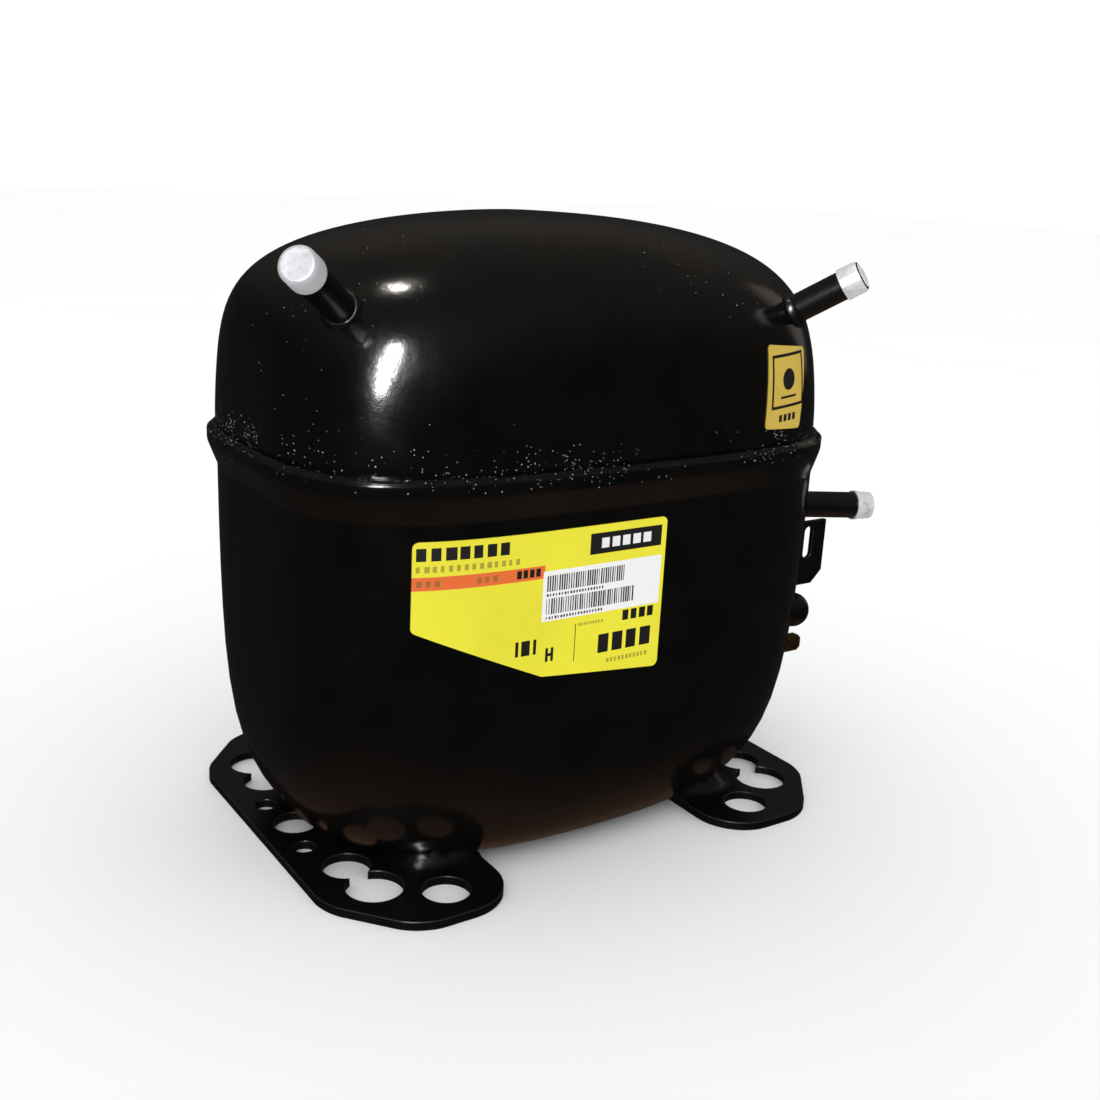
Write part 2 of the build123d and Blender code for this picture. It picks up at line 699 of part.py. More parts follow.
def make_piston():
    crown_x = pin_x - piston_crown
    radius = bore_radius - piston_gap
    piston = along(crown_x, pin_x - piston_tail, 0, yoke_z, radius)
    piston -= across(pin_x, 0, yoke_z, yoke_outer, 60)
    groove = along(crown_x + 5, crown_x + 7, 0, yoke_z, radius + 1) - along(crown_x, crown_x + 9, 0, yoke_z, radius - 0.8)
    piston -= groove
    for sign in (-1, 1):
        piston -= Pos(crown_x + 19, sign * 12.5, yoke_z) * Box(14, 8, 60)
    return piston.solids().sort_by(SortBy.VOLUME)[-1]


# ---- springs, mufflers and pipes --------------------------------------------------------
def make_suspension_springs():
    low = floor_z + wall + seat_height
    high = stator_bottom - cup_height
    coil_height = high - low - 2 * spring_wire - 0.1
    path = Helix(coil_height / spring_turns, coil_height, spring_radius)
    start = Plane(origin=path @ 0, z_dir=path % 0)
    coil = sweep(start * Circle(spring_wire), path=path, is_frenet=True)
    coils = [Pos(x, y, low + spring_wire + 0.05) * coil for x, y in four_corners(fixing_x, fixing_y)]
    return Compound(children=coils)


def make_spring_seats():
    seats = []
    hollow = lower_can(wall + 0.02)
    for x, y in four_corners(fixing_x, fixing_y):
        seat = upright(x, y, floor_z + wall - 1, spring_seat_radius, seat_height + 1)
        seat += upright(x, y, floor_z + wall + 1, spring_peg_radius, seat_height - 1 + peg_height)
        seats.append((seat & hollow).solids()[0])
    return Compound(children=seats)


def make_spring_pegs():
    pegs = []
    for x, y in four_corners(fixing_x, fixing_y):
        peg = upright(x, y, stator_bottom - cup_height, spring_seat_radius - 1, cup_height - 0.02)
        peg += upright(x, y, peg_bottom, spring_peg_radius, peg_height + 1)
        peg -= upright(x, y, stator_bottom - bolt_head_height - 0.05, bolt_head_radius + 0.3, bolt_head_height + 1)
        pegs.append(peg)
    return Compound(children=pegs)


def pipe_along(points, radius, bend):
    path = FilletPolyline(*points, radius=bend)
    start = Plane(origin=path @ 0, z_dir=path % 0)
    return sweep(start * Circle(radius), path=path)


def muffler_pot():
    x, y = muffler_centre
    return upright(x, y, plate_z[1], muffler_radius, muffler_height)


def make_head_pipe():
    x = (head_face_x + head_back_x) / 2
    z = yoke_z - 9
    points = [(x, -flange_half, z), (x, -flange_half - 16, z), (muffler_centre[0], -flange_half - 20, z)]
    points.append((muffler_centre[0], muffler_centre[1] - muffler_radius, z - 4))
    return pipe_along(points, pipe_radius, 7.0) - muffler_pot()


def make_discharge_muffler():
    pot = muffler_pot()
    return fillet(pot.edges().group_by(Axis.Z)[-1], 4.0)


def make_shock_loop():
    x, y = muffler_centre
    top = plate_z[1] + muffler_height
    inner_end = Vector(*discharge_foot) - Vector(*discharge_aim).normalized() * (tube_inside + 0.1)
    before = inner_end - Vector(*discharge_aim).normalized() * 12
    points = [(x, y, top), (x, y, top + 14), (x + 32, y, top + 16), (x + 36, -y, top)]
    points += [(x + 36, -y + 4, before.Z + 5), (x + 35, y + 27, before.Z - 2), tuple(before), tuple(inner_end)]
    return pipe_along(points, pipe_radius, 6.0)


def make_suction_muffler():
    pot = box_between((-76, flange_half + 2, plate_z[1] + 4), (-40, flange_half + 21, yoke_z + 10))
    pot = fillet(pot.edges(), 5.0)
    neck_x = (head_face_x + head_back_x) / 2
    pot += Pos(neck_x, flange_half + 6, yoke_z + 3) * Rot(90, 0, 0) * Cylinder(4.0, 11.9)
    return pot


def make_terminal_plug():
    x = terminal_face_x - 15
    plug = Pos(x - 3, 0, terminal_z) * Box(12, 24, 22)
    plug = fillet(plug.edges().filter_by(Axis.X), 4.0)
    for y, z in pin_places:
        plug -= along(x - 0.1, x + 9, y, z, pin_radius + 0.02)
    return plug


def make_motor_leads():
    leads = []
    start_x = terminal_face_x - 24.1
    for y in (-5.0, 0.0, 5.0):
        points = [(start_x, y, terminal_z), (start_x - 8, y, terminal_z), (start_x - 10, y, terminal_z + 26)]
        points.append((winding_outer + lead_gap, y, stator_top + winding_gap + winding_height / 2))
        leads.append(pipe_along(points, 1.0, 3.0))
    return Compound(children=leads)


# ---- build and write --------------------------------------------------------------------
def build_housing():
    lower_outside = make_lower_outside()
    upper_outside = make_upper_outside()
    save(make_lower_shell(lower_outside), "lower_shell")
    save(make_upper_shell(upper_outside), "upper_shell")
    save(make_seam_weld(), "seam_weld")
    save(make_foot(-1, lower_outside), "base_foot_left")
    save(make_foot(1, lower_outside), "base_foot_right")
    outsides = {"suction": upper_outside, "process": upper_outside, "discharge": lower_outside}
    for name, (foot, aim, reach) in connectors.items():
        save(make_tube(foot, aim, reach), name + "_connector")
        save(make_collar(foot, aim, outsides[name]), name + "_braze_ring")
        save(make_cap(foot, aim, reach), name + "_cap")
    save(make_terminal_body(), "terminal_body")
    save(make_terminal_glass(), "terminal_glass")
    save(make_terminal_pins(), "terminal_pins")
    wings = [make_wing(1, lower_outside), make_wing(-1, lower_outside)]
    save(Compound(children=wings), "terminal_bracket")
    save(make_earth_boss(lower_outside), "earth_boss")
    save(make_earth_tab(lower_outside), "earth_tab")
    save(make_rating_label(), "rating_label")
    save(make_side_label(), "side_label")
    save(make_spring_seats(), "spring_seats")
    save(make_suspension_springs(), "suspension_springs")
    save(make_terminal_plug(), "terminal_plug")
    save(make_motor_leads(), "motor_leads")
    save(make_shock_loop(), "shock_loop")


def build_pump_unit():
    save(make_stator_core(), "stator_core")
    save(make_stator_windings(), "stator_windings")
    save(make_stator_bolts(), "stator_bolts")
    save(make_spring_pegs(), "spring_pegs")
    save(make_cylinder_block(), "cylinder_block")
    save(make_main_bush(), "main_bush")
    save(make_thrust_washer(), "thrust_washer")
    save(plate_stack(valve_face_x - gasket_sheet, valve_face_x, [(0, 0, bore_radius)]), "cylinder_gasket")
    save(make_suction_reed(), "suction_reed")
    save(plate_stack(plate_back_x, plate_face_x, [suction_port, discharge_port]), "valve_plate")
    save(make_discharge_strip(plate_back_x - reed_sheet, reed_sheet, 8.0), "discharge_reed")
    save(make_discharge_strip(plate_back_x - reed_sheet - 1.2, 1.2, 7.0), "reed_stop")
    save(make_head_gasket(), "head_gasket")
    save(make_cylinder_head(), "cylinder_head")
    save(make_head_bolts(), "head_bolts")
    save(make_suction_muffler(), "suction_muffler")
    save(make_discharge_muffler(), "discharge_muffler")
    save(make_head_pipe(), "head_pipe")


def build_crank_train():
    save(make_crankshaft(), "crankshaft")
    save(make_counterweight(), "counterweight")
    save(make_rotor_core(), "rotor_core")
    save(make_rotor_cage(), "rotor_cage")
    save(make_oil_pickup(), "oil_pickup")
    save(make_oil_bore_plug(), "oil_bore_plug")
    save(make_slider_block(), "slider_block")
    save(make_yoke_tube(), "yoke_tube")
    save(make_piston(), "piston")


if __name__ == "__main__":
    os.makedirs("parts", exist_ok=True)
    build_housing()
    build_pump_unit()
    build_crank_train()
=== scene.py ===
"""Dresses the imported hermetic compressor: its can, seam, caps, feet, labels and finishes."""

import json
import math

import bmesh
import bpy
from mathutils import Matrix, Quaternion, Vector, noise


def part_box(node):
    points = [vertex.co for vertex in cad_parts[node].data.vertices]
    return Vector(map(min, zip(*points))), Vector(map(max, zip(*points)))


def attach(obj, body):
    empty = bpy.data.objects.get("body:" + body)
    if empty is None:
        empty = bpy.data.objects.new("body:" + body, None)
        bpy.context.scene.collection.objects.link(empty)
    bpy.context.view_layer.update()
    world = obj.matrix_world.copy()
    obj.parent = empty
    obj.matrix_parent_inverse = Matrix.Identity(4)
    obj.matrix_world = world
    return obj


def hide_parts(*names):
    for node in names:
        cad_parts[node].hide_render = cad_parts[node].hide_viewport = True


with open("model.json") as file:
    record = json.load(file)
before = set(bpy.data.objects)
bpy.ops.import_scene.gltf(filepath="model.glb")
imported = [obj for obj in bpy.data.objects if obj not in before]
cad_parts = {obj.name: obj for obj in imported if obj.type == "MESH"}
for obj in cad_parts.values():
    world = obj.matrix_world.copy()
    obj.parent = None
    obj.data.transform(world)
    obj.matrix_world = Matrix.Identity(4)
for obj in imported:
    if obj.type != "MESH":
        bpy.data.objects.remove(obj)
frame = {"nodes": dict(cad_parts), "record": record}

bl_info = {
    "name": "Hermetic Compressor",
    "version": (1, 0, 0),
    "blender": (4, 5, 0),
    "location": "3D View > Sidebar > Compressor",
    "description": "Dresses a welded refrigeration compressor around its packed frame",
    "category": "Object",
}

MM = 0.001
CROWN_SHARE = 0.998
RING_SEGMENTS = 208
BEAD_SEGMENTS = 1400
BEAD_RIPPLES = 190
TUBE_SEGMENTS = 56
BRAZE_SEGMENTS = 72
CAP_SEGMENTS = 96
CAP_WALL = 0.00055
TUBE_LIP = 0.0003
EDGE_ROUND = 0.0006
MERGE_DISTANCE = 1e-7
SURROUND_LIGHT = (1.06, 1.06, 1.06)
WALL_LIGHT = (0.022, 0.022, 0.023)
CEILING_LIGHT = (0.13, 0.115, 0.10)
BENCH_LIGHT = (0.15, 0.085, 0.055)


# ---- sizes and colours a user would change ----------------------------------------------
def length_prop(name, description, default):
    """A length in metres, shown in the scene's unit."""
    return bpy.props.FloatProperty(name=name, description=description, default=default,
                                   unit="LENGTH", precision=5)


def share_prop(name, description, default):
    """A share from 0 to 1."""
    return bpy.props.FloatProperty(name=name, description=description, default=default,
                                   min=0.0, max=1.0, subtype="FACTOR")


def colour_prop(name, description, default):
    """A linear colour."""
    return bpy.props.FloatVectorProperty(name=name, description=description, default=default,
                                         size=3, min=0.0, max=1.0, subtype="COLOR")


class CanSizes(bpy.types.PropertyGroup):
    """Sizes of the welded can."""
    crown_z: length_prop("Crown height", "Top of the dome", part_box("upper_shell")[1].z)
    half_length: length_prop("Half length", "Middle of the can to its end at the crease", 0.1022)
    half_width: length_prop("Half width", "Middle of the can to its side at the crease", 0.0665)
    wall: length_prop("Wall", "Sheet thickness of the can", 0.003)
    floor_z: length_prop("Floor height", "Underside of the lower can", 0.003)
    crease_z: length_prop("Crease height", "Where the lower can starts to flare", 0.124)
    rim_z: length_prop("Rim height", "Top of the lower can's rim", 0.137)
    rim_flare: length_prop("Rim flare", "How far the rim stands out from the can", 0.0042)
    rim_wall: length_prop("Rim wall", "Sheet thickness at the rim", 0.0028)
    lap: length_prop("Lap", "How far the dome's skirt reaches into the rim", 0.008)
    dome_step: length_prop("Dome step", "How far the dome stands out from the crease outline", 0.0022)
    dome_start_z: length_prop("Dome start", "Height where the dome's side begins", 0.141)
    joint_gap: length_prop("Joint gap", "Room between the rim and the skirt", 0.0002)


class PipeSizes(bpy.types.PropertyGroup):
    """Sizes of the pipe connectors and their transport caps."""
    tube_radius: length_prop("Tube radius", "Outside radius of a connector", 0.0050)
    tube_bore: length_prop("Tube bore", "Inside radius of a connector", 0.0038)
    tube_inside: length_prop("Tube inside", "How far a connector reaches into the can", 0.006)
    braze_radius: length_prop("Braze radius", "Outside radius of the braze at a connector's foot", 0.0065)
    cap_radius: length_prop("Cap radius", "Outside radius of a transport cap", 0.00565)
    cap_length: length_prop("Cap length", "Length of a transport cap", 0.008)
    cap_end: length_prop("Cap end", "Thickness of a cap's closed end", 0.001)


class FinishLook(bpy.types.PropertyGroup):
    """Colours and strengths of the finishes."""
    paint: colour_prop("Paint", "Black enamel of the can", (0.0015, 0.0018, 0.0019))
    # Painted warm sheen: warm patches of colour that stand in for a broad reflection on the enamel.
    painted_warm_sheen: colour_prop("Paint, warm", "Thin or aged patches of the enamel", (0.0032, 0.0026, 0.0020))
    label: colour_prop("Label", "Yellow film of the rating label", (0.84, 0.775, 0.026))
    sticker: colour_prop("Sticker", "Yellow film of the small sticker", (0.60, 0.42, 0.055))
    ink: colour_prop("Ink", "Black print on the labels", (0.012, 0.012, 0.011))
    band: colour_prop("Band", "Orange band across the rating label", (0.80, 0.145, 0.022))
    peel: share_prop("Orange peel", "Strength of the ripple in the enamel", 0.5)
    # Spatter also scales the pale specks on the dome, which are partly painted glints of paint nibs.
    dust: share_prop("Spatter", "Amount of pale weld spatter near the seam", 0.5)


class StageLook(bpy.types.PropertyGroup):
    """The pale floor, the lamps and the camera."""
    floor: colour_prop("Floor", "Colour of the floor", (0.93, 0.93, 0.93))
    key_power: bpy.props.FloatProperty(name="Key lamp", description="Power of the soft key lamp",
                                       default=60.0, min=0.0, unit="POWER")
    fill_power: bpy.props.FloatProperty(name="Fill lamps", description="Power of the soft fill lamps",
                                        default=10.0, min=0.0, unit="POWER")
    lens: bpy.props.FloatProperty(name="Lens", description="Focal length of the camera",
                                  default=43.111, min=1.0, subtype="DISTANCE_CAMERA")


def can():
    return bpy.context.scene.compressor_can


def pipes():
    return bpy.context.scene.compressor_pipes


def looks():
    return bpy.context.scene.compressor_looks


def stage_look():
    return bpy.context.scene.compressor_stage


# ---- outlines of the can ----------------------------------------------------------------
def lower_outline(z, inset=0.0):
    """Half length, half width, squareness and height of the lower can at height z."""
    size = can()
    drop = max((size.crease_z - z) / (size.crease_z - size.floor_z + 0.0056 - inset), 0.0)
    half_x = (size.half_length - inset) * (1 - drop ** 5.8) ** (1 / 6.37)
    half_y = (size.half_width - inset) * (1 - drop ** 7.27) ** (1 / 4.73)
    return half_x, half_y, 3.97 - 1.61 * drop ** 2.21, z


def dome_outline(z, inset=0.0):
    """Half length, half width, squareness and height of the dome at height z."""
    size = can()
    rise = size.crown_z - inset - size.dome_start_z
    climb = min(CROWN_SHARE * (z - size.dome_start_z) / rise, CROWN_SHARE)
    half_x = (size.half_length + size.dome_step - inset) * (1 - climb ** 5.7) ** (1 / 1.89)
    half_y = (size.half_width + size.dome_step - inset) * (1 - climb ** 3.36) ** (1 / 2.93)
    return half_x, half_y, 3.31 - 1.5 * climb ** 1.36, z


def rim_outline(z, inset=0.0):
    """The rim's outline at height z, moved in by inset."""
    size = can()
    return (size.half_length + size.rim_flare - inset, size.half_width + size.rim_flare - inset, 3.5, z)


def between(first, second, share):
    """An outline part of the way from one to another."""
    return tuple(a + (b - a) * share for a, b in zip(first, second))


def steps(start, end, count, ease=1.0):
    """Values from start to end, closer together at the end when ease is above 1."""
    return [start + (end - start) * (1 - (1 - step / count) ** ease) for step in range(count + 1)]


# ---- mesh helpers -----------------------------------------------------------------------
def outline_point(turn, outline):
    """The point of an outline in the direction turn."""
    half_x, half_y, power, z = outline
    across, along = math.cos(turn), math.sin(turn)
    reach = (abs(across) ** power + abs(along) ** power) ** (-1 / power)
    return Vector((half_x * across * reach, half_y * along * reach, z))


def set_ring(verts, layer, outline):
    for vert in verts:
        vert.co = outline_point(vert[layer], outline)


def ring_stack(outlines, segments, crisp=()):
    """An open skin through a stack of outlines; also the edges of the rings numbered in crisp, for a small
    round.
    """
    bm = bmesh.new()
    layer = bm.verts.layers.float.new("turn")
    verts = bmesh.ops.create_circle(bm, segments=segments, radius=1.0)["verts"]
    for vert in verts:
        vert[layer] = math.atan2(vert.co.y, vert.co.x)
    set_ring(verts, layer, outlines[0])
    edges = list(bm.edges)
    rounded = []
    for number, outline in enumerate(outlines[1:], 1):
        made = bmesh.ops.extrude_edge_only(bm, edges=edges)["geom"]
        verts = [item for item in made if isinstance(item, bmesh.types.BMVert)]
        kept = set(verts)
        edges = [item for item in made if isinstance(item, bmesh.types.BMEdge)
                 and item.verts[0] in kept and item.verts[1] in kept]
        set_ring(verts, layer, outline)
        if number in crisp:
            rounded += edges
    return bm, rounded


def round_edges(bm, edges, width):
    bmesh.ops.bevel(bm, geom=edges, offset=width, offset_type="OFFSET", affect="EDGES",
                    segments=3, profile=0.5, material=-1, clamp_overlap=True)


def close_skin(bm):
    bmesh.ops.holes_fill(bm, edges=[edge for edge in bm.edges if edge.is_boundary], sides=0)
    bmesh.ops.remove_doubles(bm, verts=bm.verts, dist=MERGE_DISTANCE)
    bmesh.ops.recalc_face_normals(bm, faces=bm.faces)


def spun(profile, segments):
    """A turned piece about Z; its (radius, height) profile ends on the axis or closes."""
    bm = bmesh.new()
    verts = [bm.verts.new((radius, 0.0, height)) for radius, height in profile]
    for first, second in zip(verts, verts[1:]):
        bm.edges.new((first, second))
    bmesh.ops.spin(bm, geom=list(bm.verts) + list(bm.edges), cent=(0, 0, 0), axis=(0, 0, 1),
                   angle=2 * math.pi, steps=segments, use_merge=True)
    bmesh.ops.remove_doubles(bm, verts=bm.verts, dist=MERGE_DISTANCE)
    bmesh.ops.recalc_face_normals(bm, faces=bm.faces)
    return bm


def aimed(foot, aim):
    """Where a pipe stands: its Z runs along aim from foot."""
    return Matrix.Translation(foot) @ Vector(aim).to_track_quat("Z", "Y").to_matrix().to_4x4()


def finish_piece(bm, name, body, material, replaced=(), flat_angle=35.0, place=None):
    """Turns a bmesh into a named, shaded piece that rides on a CAD body."""
    if place is not None:
        bmesh.ops.transform(bm, matrix=place, verts=bm.verts)
    mesh = bpy.data.meshes.new(name)
    bm.to_mesh(mesh)
    bm.free()
    mesh.shade_smooth()
    mesh.set_sharp_from_angle(angle=math.radians(flat_angle))
    piece = bpy.data.objects.new(name, mesh)
    bpy.context.scene.collection.objects.link(piece)
    mesh.materials.append(material)
    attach(piece, body)
    if replaced:
        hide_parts(*replaced)


# ---- shader helpers ---------------------------------------------------------------------
def add_node(tree, kind, values=None, **settings):
    """A shader node with its settings and its inputs, linked or set."""
    node = tree.nodes.new("ShaderNode" + kind)
    for key, value in settings.items():
        setattr(node, key, value)
    for socket, value in (values or {}).items():
        if isinstance(value, bpy.types.NodeSocket):
            tree.links.new(value, node.inputs[socket])
        else:
            node.inputs[socket].default_value = value
    return node


def calc(tree, operation, *values):
    """One step of arithmetic; returns its result socket."""
    return add_node(tree, "Math", dict(enumerate(values)), operation=operation).outputs[0]


def limit(tree, value, low, high, to_low=0.0, to_high=1.0, smooth=True):
    """Maps a value from low..high to to_low..to_high, held at the ends."""
    return add_node(tree, "MapRange", {"Value": value, "From Min": low, "From Max": high, "To Min": to_low,
                                       "To Max": to_high},
                    interpolation_type="SMOOTHSTEP" if smooth else "LINEAR").outputs["Result"]


def blend_colour(tree, mask, first, second):
    """One colour over another by a mask."""
    node = add_node(tree, "Mix", data_type="RGBA", blend_type="MIX")
    for socket, value in ((node.inputs[0], mask), (node.inputs[6], first), (node.inputs[7], second)):
        if isinstance(value, bpy.types.NodeSocket):
            tree.links.new(value, socket)
        elif socket.type == "RGBA":
            socket.default_value = (*value[:3], 1.0)
        else:
            socket.default_value = value
    return node.outputs[2]


def ripple(tree, position, scale, detail=2.0, roughness=0.5):
    """A noise value."""
    return add_node(tree, "TexNoise", {"Vector": position, "Scale": scale, "Detail": detail,
                                       "Roughness": roughness}).outputs["Fac"]


def new_group(name, inputs, outputs):
    """An empty shader group with float inputs (or vectors, where the default is None)."""
    tree = bpy.data.node_groups.new(name, "ShaderNodeTree")
    for title, default in inputs:
        kind = "NodeSocketVector" if default is None else "NodeSocketFloat"
        socket = tree.interface.new_socket(title, in_out="INPUT", socket_type=kind)
        if default is not None:
            socket.default_value = default
    for title in outputs:
        tree.interface.new_socket(title, in_out="OUTPUT", socket_type="NodeSocketFloat")
    source = tree.nodes.new("NodeGroupInput").outputs
    result = tree.nodes.new("NodeGroupOutput").inputs
    return tree, source, result


def use_group(tree, name, values):
    """Places a shared group in a material."""
    node = tree.nodes.new("ShaderNodeGroup")
    node.node_tree = bpy.data.node_groups[name]
    for socket, value in values.items():
        if isinstance(value, bpy.types.NodeSocket):
            tree.links.new(value, node.inputs[socket])
        else:
            node.inputs[socket].default_value = value
    return node.outputs


def make_orange_peel_group():
    """Sprayed enamel: a fine ripple over a slow one."""
    inputs = [("Position", None), ("Scale", 420.0)]
    tree, source, result = new_group("Orange Peel", inputs, ["Height", "Mottle"])
    fine = ripple(tree, source["Position"], source["Scale"], 3.0, 0.55)
    slow = ripple(tree, source["Position"], calc(tree, "MULTIPLY", source["Scale"], 0.13), 3.0, 0.55)
    grain = ripple(tree, source["Position"], calc(tree, "MULTIPLY", source["Scale"], 5.6), 2.0, 0.5)
    both = calc(tree, "MULTIPLY_ADD", grain, 0.22, calc(tree, "MULTIPLY_ADD", slow, 1.3, fine))
    tree.links.new(both, result["Height"])
    tree.links.new(limit(tree, slow, 0.3, 0.7), result["Mottle"])


def make_specks_group():
    """Scattered round specks; Amount is the share of cells that hold one."""
    inputs = [("Position", None), ("Scale", 300.0), ("Amount", 0.1), ("Size", 0.2)]
    tree, source, result = new_group("Specks", inputs, ["Mask"])
    cells = add_node(tree, "TexVoronoi", {"Vector": source["Position"], "Scale": source["Scale"],
                                          "Randomness": 1.0}, feature="F1", distance="EUCLIDEAN")
    parts = add_node(tree, "SeparateColor", {"Color": cells.outputs["Color"]}).outputs
    radius = calc(tree, "MULTIPLY", source["Size"], limit(tree, parts[1], 0.0, 1.0, 0.35, 1.0, False))
    dot = calc(tree, "LESS_THAN", cells.outputs["Distance"], radius)
    kept = calc(tree, "LESS_THAN", parts[0], source["Amount"])
    tree.links.new(calc(tree, "MULTIPLY", dot, kept), result["Mask"])


def make_worn_edge_group():
    """Rubbed corners: where the rounded normal leaves the true one, broken up by noise."""
    tree, source, result = new_group("Worn Edge", [("Position", None), ("Width", 0.0008), ("Break Up", 0.5)],
                                     ["Mask"])
    normal = add_node(tree, "Bevel", {"Radius": source["Width"]}, samples=4).outputs[0]
    true = add_node(tree, "NewGeometry").outputs["Normal"]
    match = add_node(tree, "VectorMath", {0: normal, 1: true}, operation="DOT_PRODUCT").outputs["Value"]
    corner = limit(tree, match, 0.995, 0.86)
    patches = ripple(tree, source["Position"], 260.0, 4.0, 0.65)
    broken = limit(tree, calc(tree, "MULTIPLY_ADD", patches, source["Break Up"], corner), 0.75, 1.15)
    tree.links.new(calc(tree, "MULTIPLY", broken, corner), result["Mask"])


def make_band_group():
    """A rectangle on the front: 1 inside, 0 outside."""
    inputs = [("X", 0.0), ("Z", 0.0), ("Left", 0.0), ("Right", 0.0), ("Bottom", 0.0), ("Top", 0.0)]
    tree, source, result = new_group("Print Block", inputs, ["Mask"])
    mask = None
    for first, second in (("X", "Left"), ("Z", "Bottom"), ("Right", "X"), ("Top", "Z")):
        inside = calc(tree, "GREATER_THAN", source[first], source[second])
        mask = inside if mask is None else calc(tree, "MULTIPLY", mask, inside)
    tree.links.new(mask, result["Mask"])


def make_word_group():
    """A row of plain blocks in place of printed characters."""
    inputs = [("X", 0.0), ("Z", 0.0), ("Left", 0.0), ("Bottom", 0.0), ("Width", 0.01), ("Height", 0.002),
              ("Blocks", 5.0), ("Fill", 0.74), ("Seed", 0.0), ("Vary", 0.0)]
    tree, source, result = new_group("Print Word", inputs, ["Mask"])
    along = calc(tree, "DIVIDE", calc(tree, "SUBTRACT", source["X"], source["Left"]), source["Width"])
    up = calc(tree, "DIVIDE", calc(tree, "SUBTRACT", source["Z"], source["Bottom"]), source["Height"])
    place = calc(tree, "MULTIPLY", along, source["Blocks"])
    number = calc(tree, "ADD", calc(tree, "FLOOR", place), source["Seed"])
    chance = add_node(tree, "TexWhiteNoise", {"W": number}, noise_dimensions="1D").outputs["Value"]
    fill = calc(tree, "SUBTRACT", source["Fill"], calc(tree, "MULTIPLY", chance, source["Vary"]))
    mask = calc(tree, "LESS_THAN", calc(tree, "FRACT", place), fill)
    for value in (along, up):
        mask = calc(tree, "MULTIPLY", mask, calc(tree, "GREATER_THAN", value, 0.0))
        mask = calc(tree, "MULTIPLY", mask, calc(tree, "LESS_THAN", value, 1.0))
    tree.links.new(mask, result["Mask"])


def make_groups():
    make_orange_peel_group()
    make_specks_group()
    make_worn_edge_group()
    make_band_group()
    make_word_group()


def new_material(name):
    """A material with its Principled shader; returns (material, tree, shader, position)."""
    material = bpy.data.materials.new(name)
    material.use_nodes = True
    tree = material.node_tree
    shader = tree.nodes["Principled BSDF"]
    position = add_node(tree, "TexCoord").outputs["Object"]
    return material, tree, shader, position


def put(tree, shader, **values):
    """Sets or links the shader's sockets, named with underscores for spaces."""
    for key, value in values.items():
        socket = shader.inputs[key.replace("_", " ")]
        if isinstance(value, bpy.types.NodeSocket):
            tree.links.new(value, socket)
        elif socket.type == "RGBA":
            socket.default_value = (*value[:3], 1.0)
        else:
            socket.default_value = value


def relief(tree, height, strength, distance, normal=None):
    values = {"Height": height, "Strength": strength, "Distance": distance}
    if normal is not None:
        values["Normal"] = normal
    return add_node(tree, "Bump", values).outputs["Normal"]


def height_of(tree, position):
    return add_node(tree, "SeparateXYZ", {"Vector": position}).outputs


# ---- finishes ---------------------------------------------------------------------------
def worn_edge(tree, position, width):
    return use_group(tree, "Worn Edge", {"Position": position, "Width": width})["Mask"]


def specks_mask(tree, position, scale, amount, size):
    values = {"Position": position, "Scale": scale, "Amount": amount, "Size": size}
    return use_group(tree, "Specks", values)["Mask"]


def paint_finish(name, roughness=0.12, spatter=1.0, peel=1.0, worn=0.35):
    """Black enamel over pressed steel: orange peel, patches of painted warm sheen, dust nibs and weld spatter
    in pale specks that are partly painted glints, and rubbed corners.
    """
    material, tree, shader, position = new_material(name)
    look = looks()
    skin = use_group(tree, "Orange Peel", {"Position": position, "Scale": 430.0})
    z = height_of(tree, position)["Z"]
    # Painted warm sheen, scattered in slow patches over the black enamel.
    colour = blend_colour(tree, skin["Mottle"], look.paint, look.painted_warm_sheen)
    from_seam = calc(tree, "ABSOLUTE", calc(tree, "SUBTRACT", z, can().rim_z + 0.003))
    seam_side = limit(tree, from_seam, 0.002, 0.009, 1.0, 0.0)
    clumps = limit(tree, ripple(tree, position, 34.0, 4.0, 0.6), 0.34, 0.66)
    dense = calc(tree, "MULTIPLY", calc(tree, "MULTIPLY", seam_side, clumps), 0.9 * spatter * look.dust)
    near = specks_mask(tree, position, 1350.0, dense, 0.30)
    patches = limit(tree, ripple(tree, position, 17.0, 3.0, 0.6), 0.5, 0.72)
    sparse = calc(tree, "MULTIPLY", patches, 0.13 * spatter * look.dust)
    upper = calc(tree, "MULTIPLY", sparse, limit(tree, z, can().rim_z, can().rim_z + 0.02))
    far = specks_mask(tree, position, 1250.0, upper, 0.22)
    specks = calc(tree, "MAXIMUM", near, far)
    rubbed = calc(tree, "MULTIPLY", worn_edge(tree, position, 0.0007), worn)
    colour = blend_colour(tree, rubbed, colour, (0.052, 0.048, 0.043))
    # Pale specks: weld spatter and dust near the seam, and on the dome painted glints of paint nibs.
    colour = blend_colour(tree, specks, colour, (0.46, 0.45, 0.43))
    haze = ripple(tree, position, 55.0, 5.0, 0.62)
    gloss = limit(tree, haze, 0.3, 0.75, roughness, roughness + 0.07, False)
    rough = calc(tree, "MAXIMUM", gloss, calc(tree, "MULTIPLY", calc(tree, "MAXIMUM", specks, rubbed), 0.62))
    soft = add_node(tree, "Bevel", {"Radius": 0.0006}, samples=4).outputs[0]
    waves = relief(tree, skin["Height"], 0.5 * look.peel * peel, 0.00016, soft)
    nibs = relief(tree, specks, 0.55, 0.0003, waves)
    put(tree, shader, Base_Color=colour, Roughness=rough, Normal=nibs, Specular_IOR_Level=0.5)
    return material


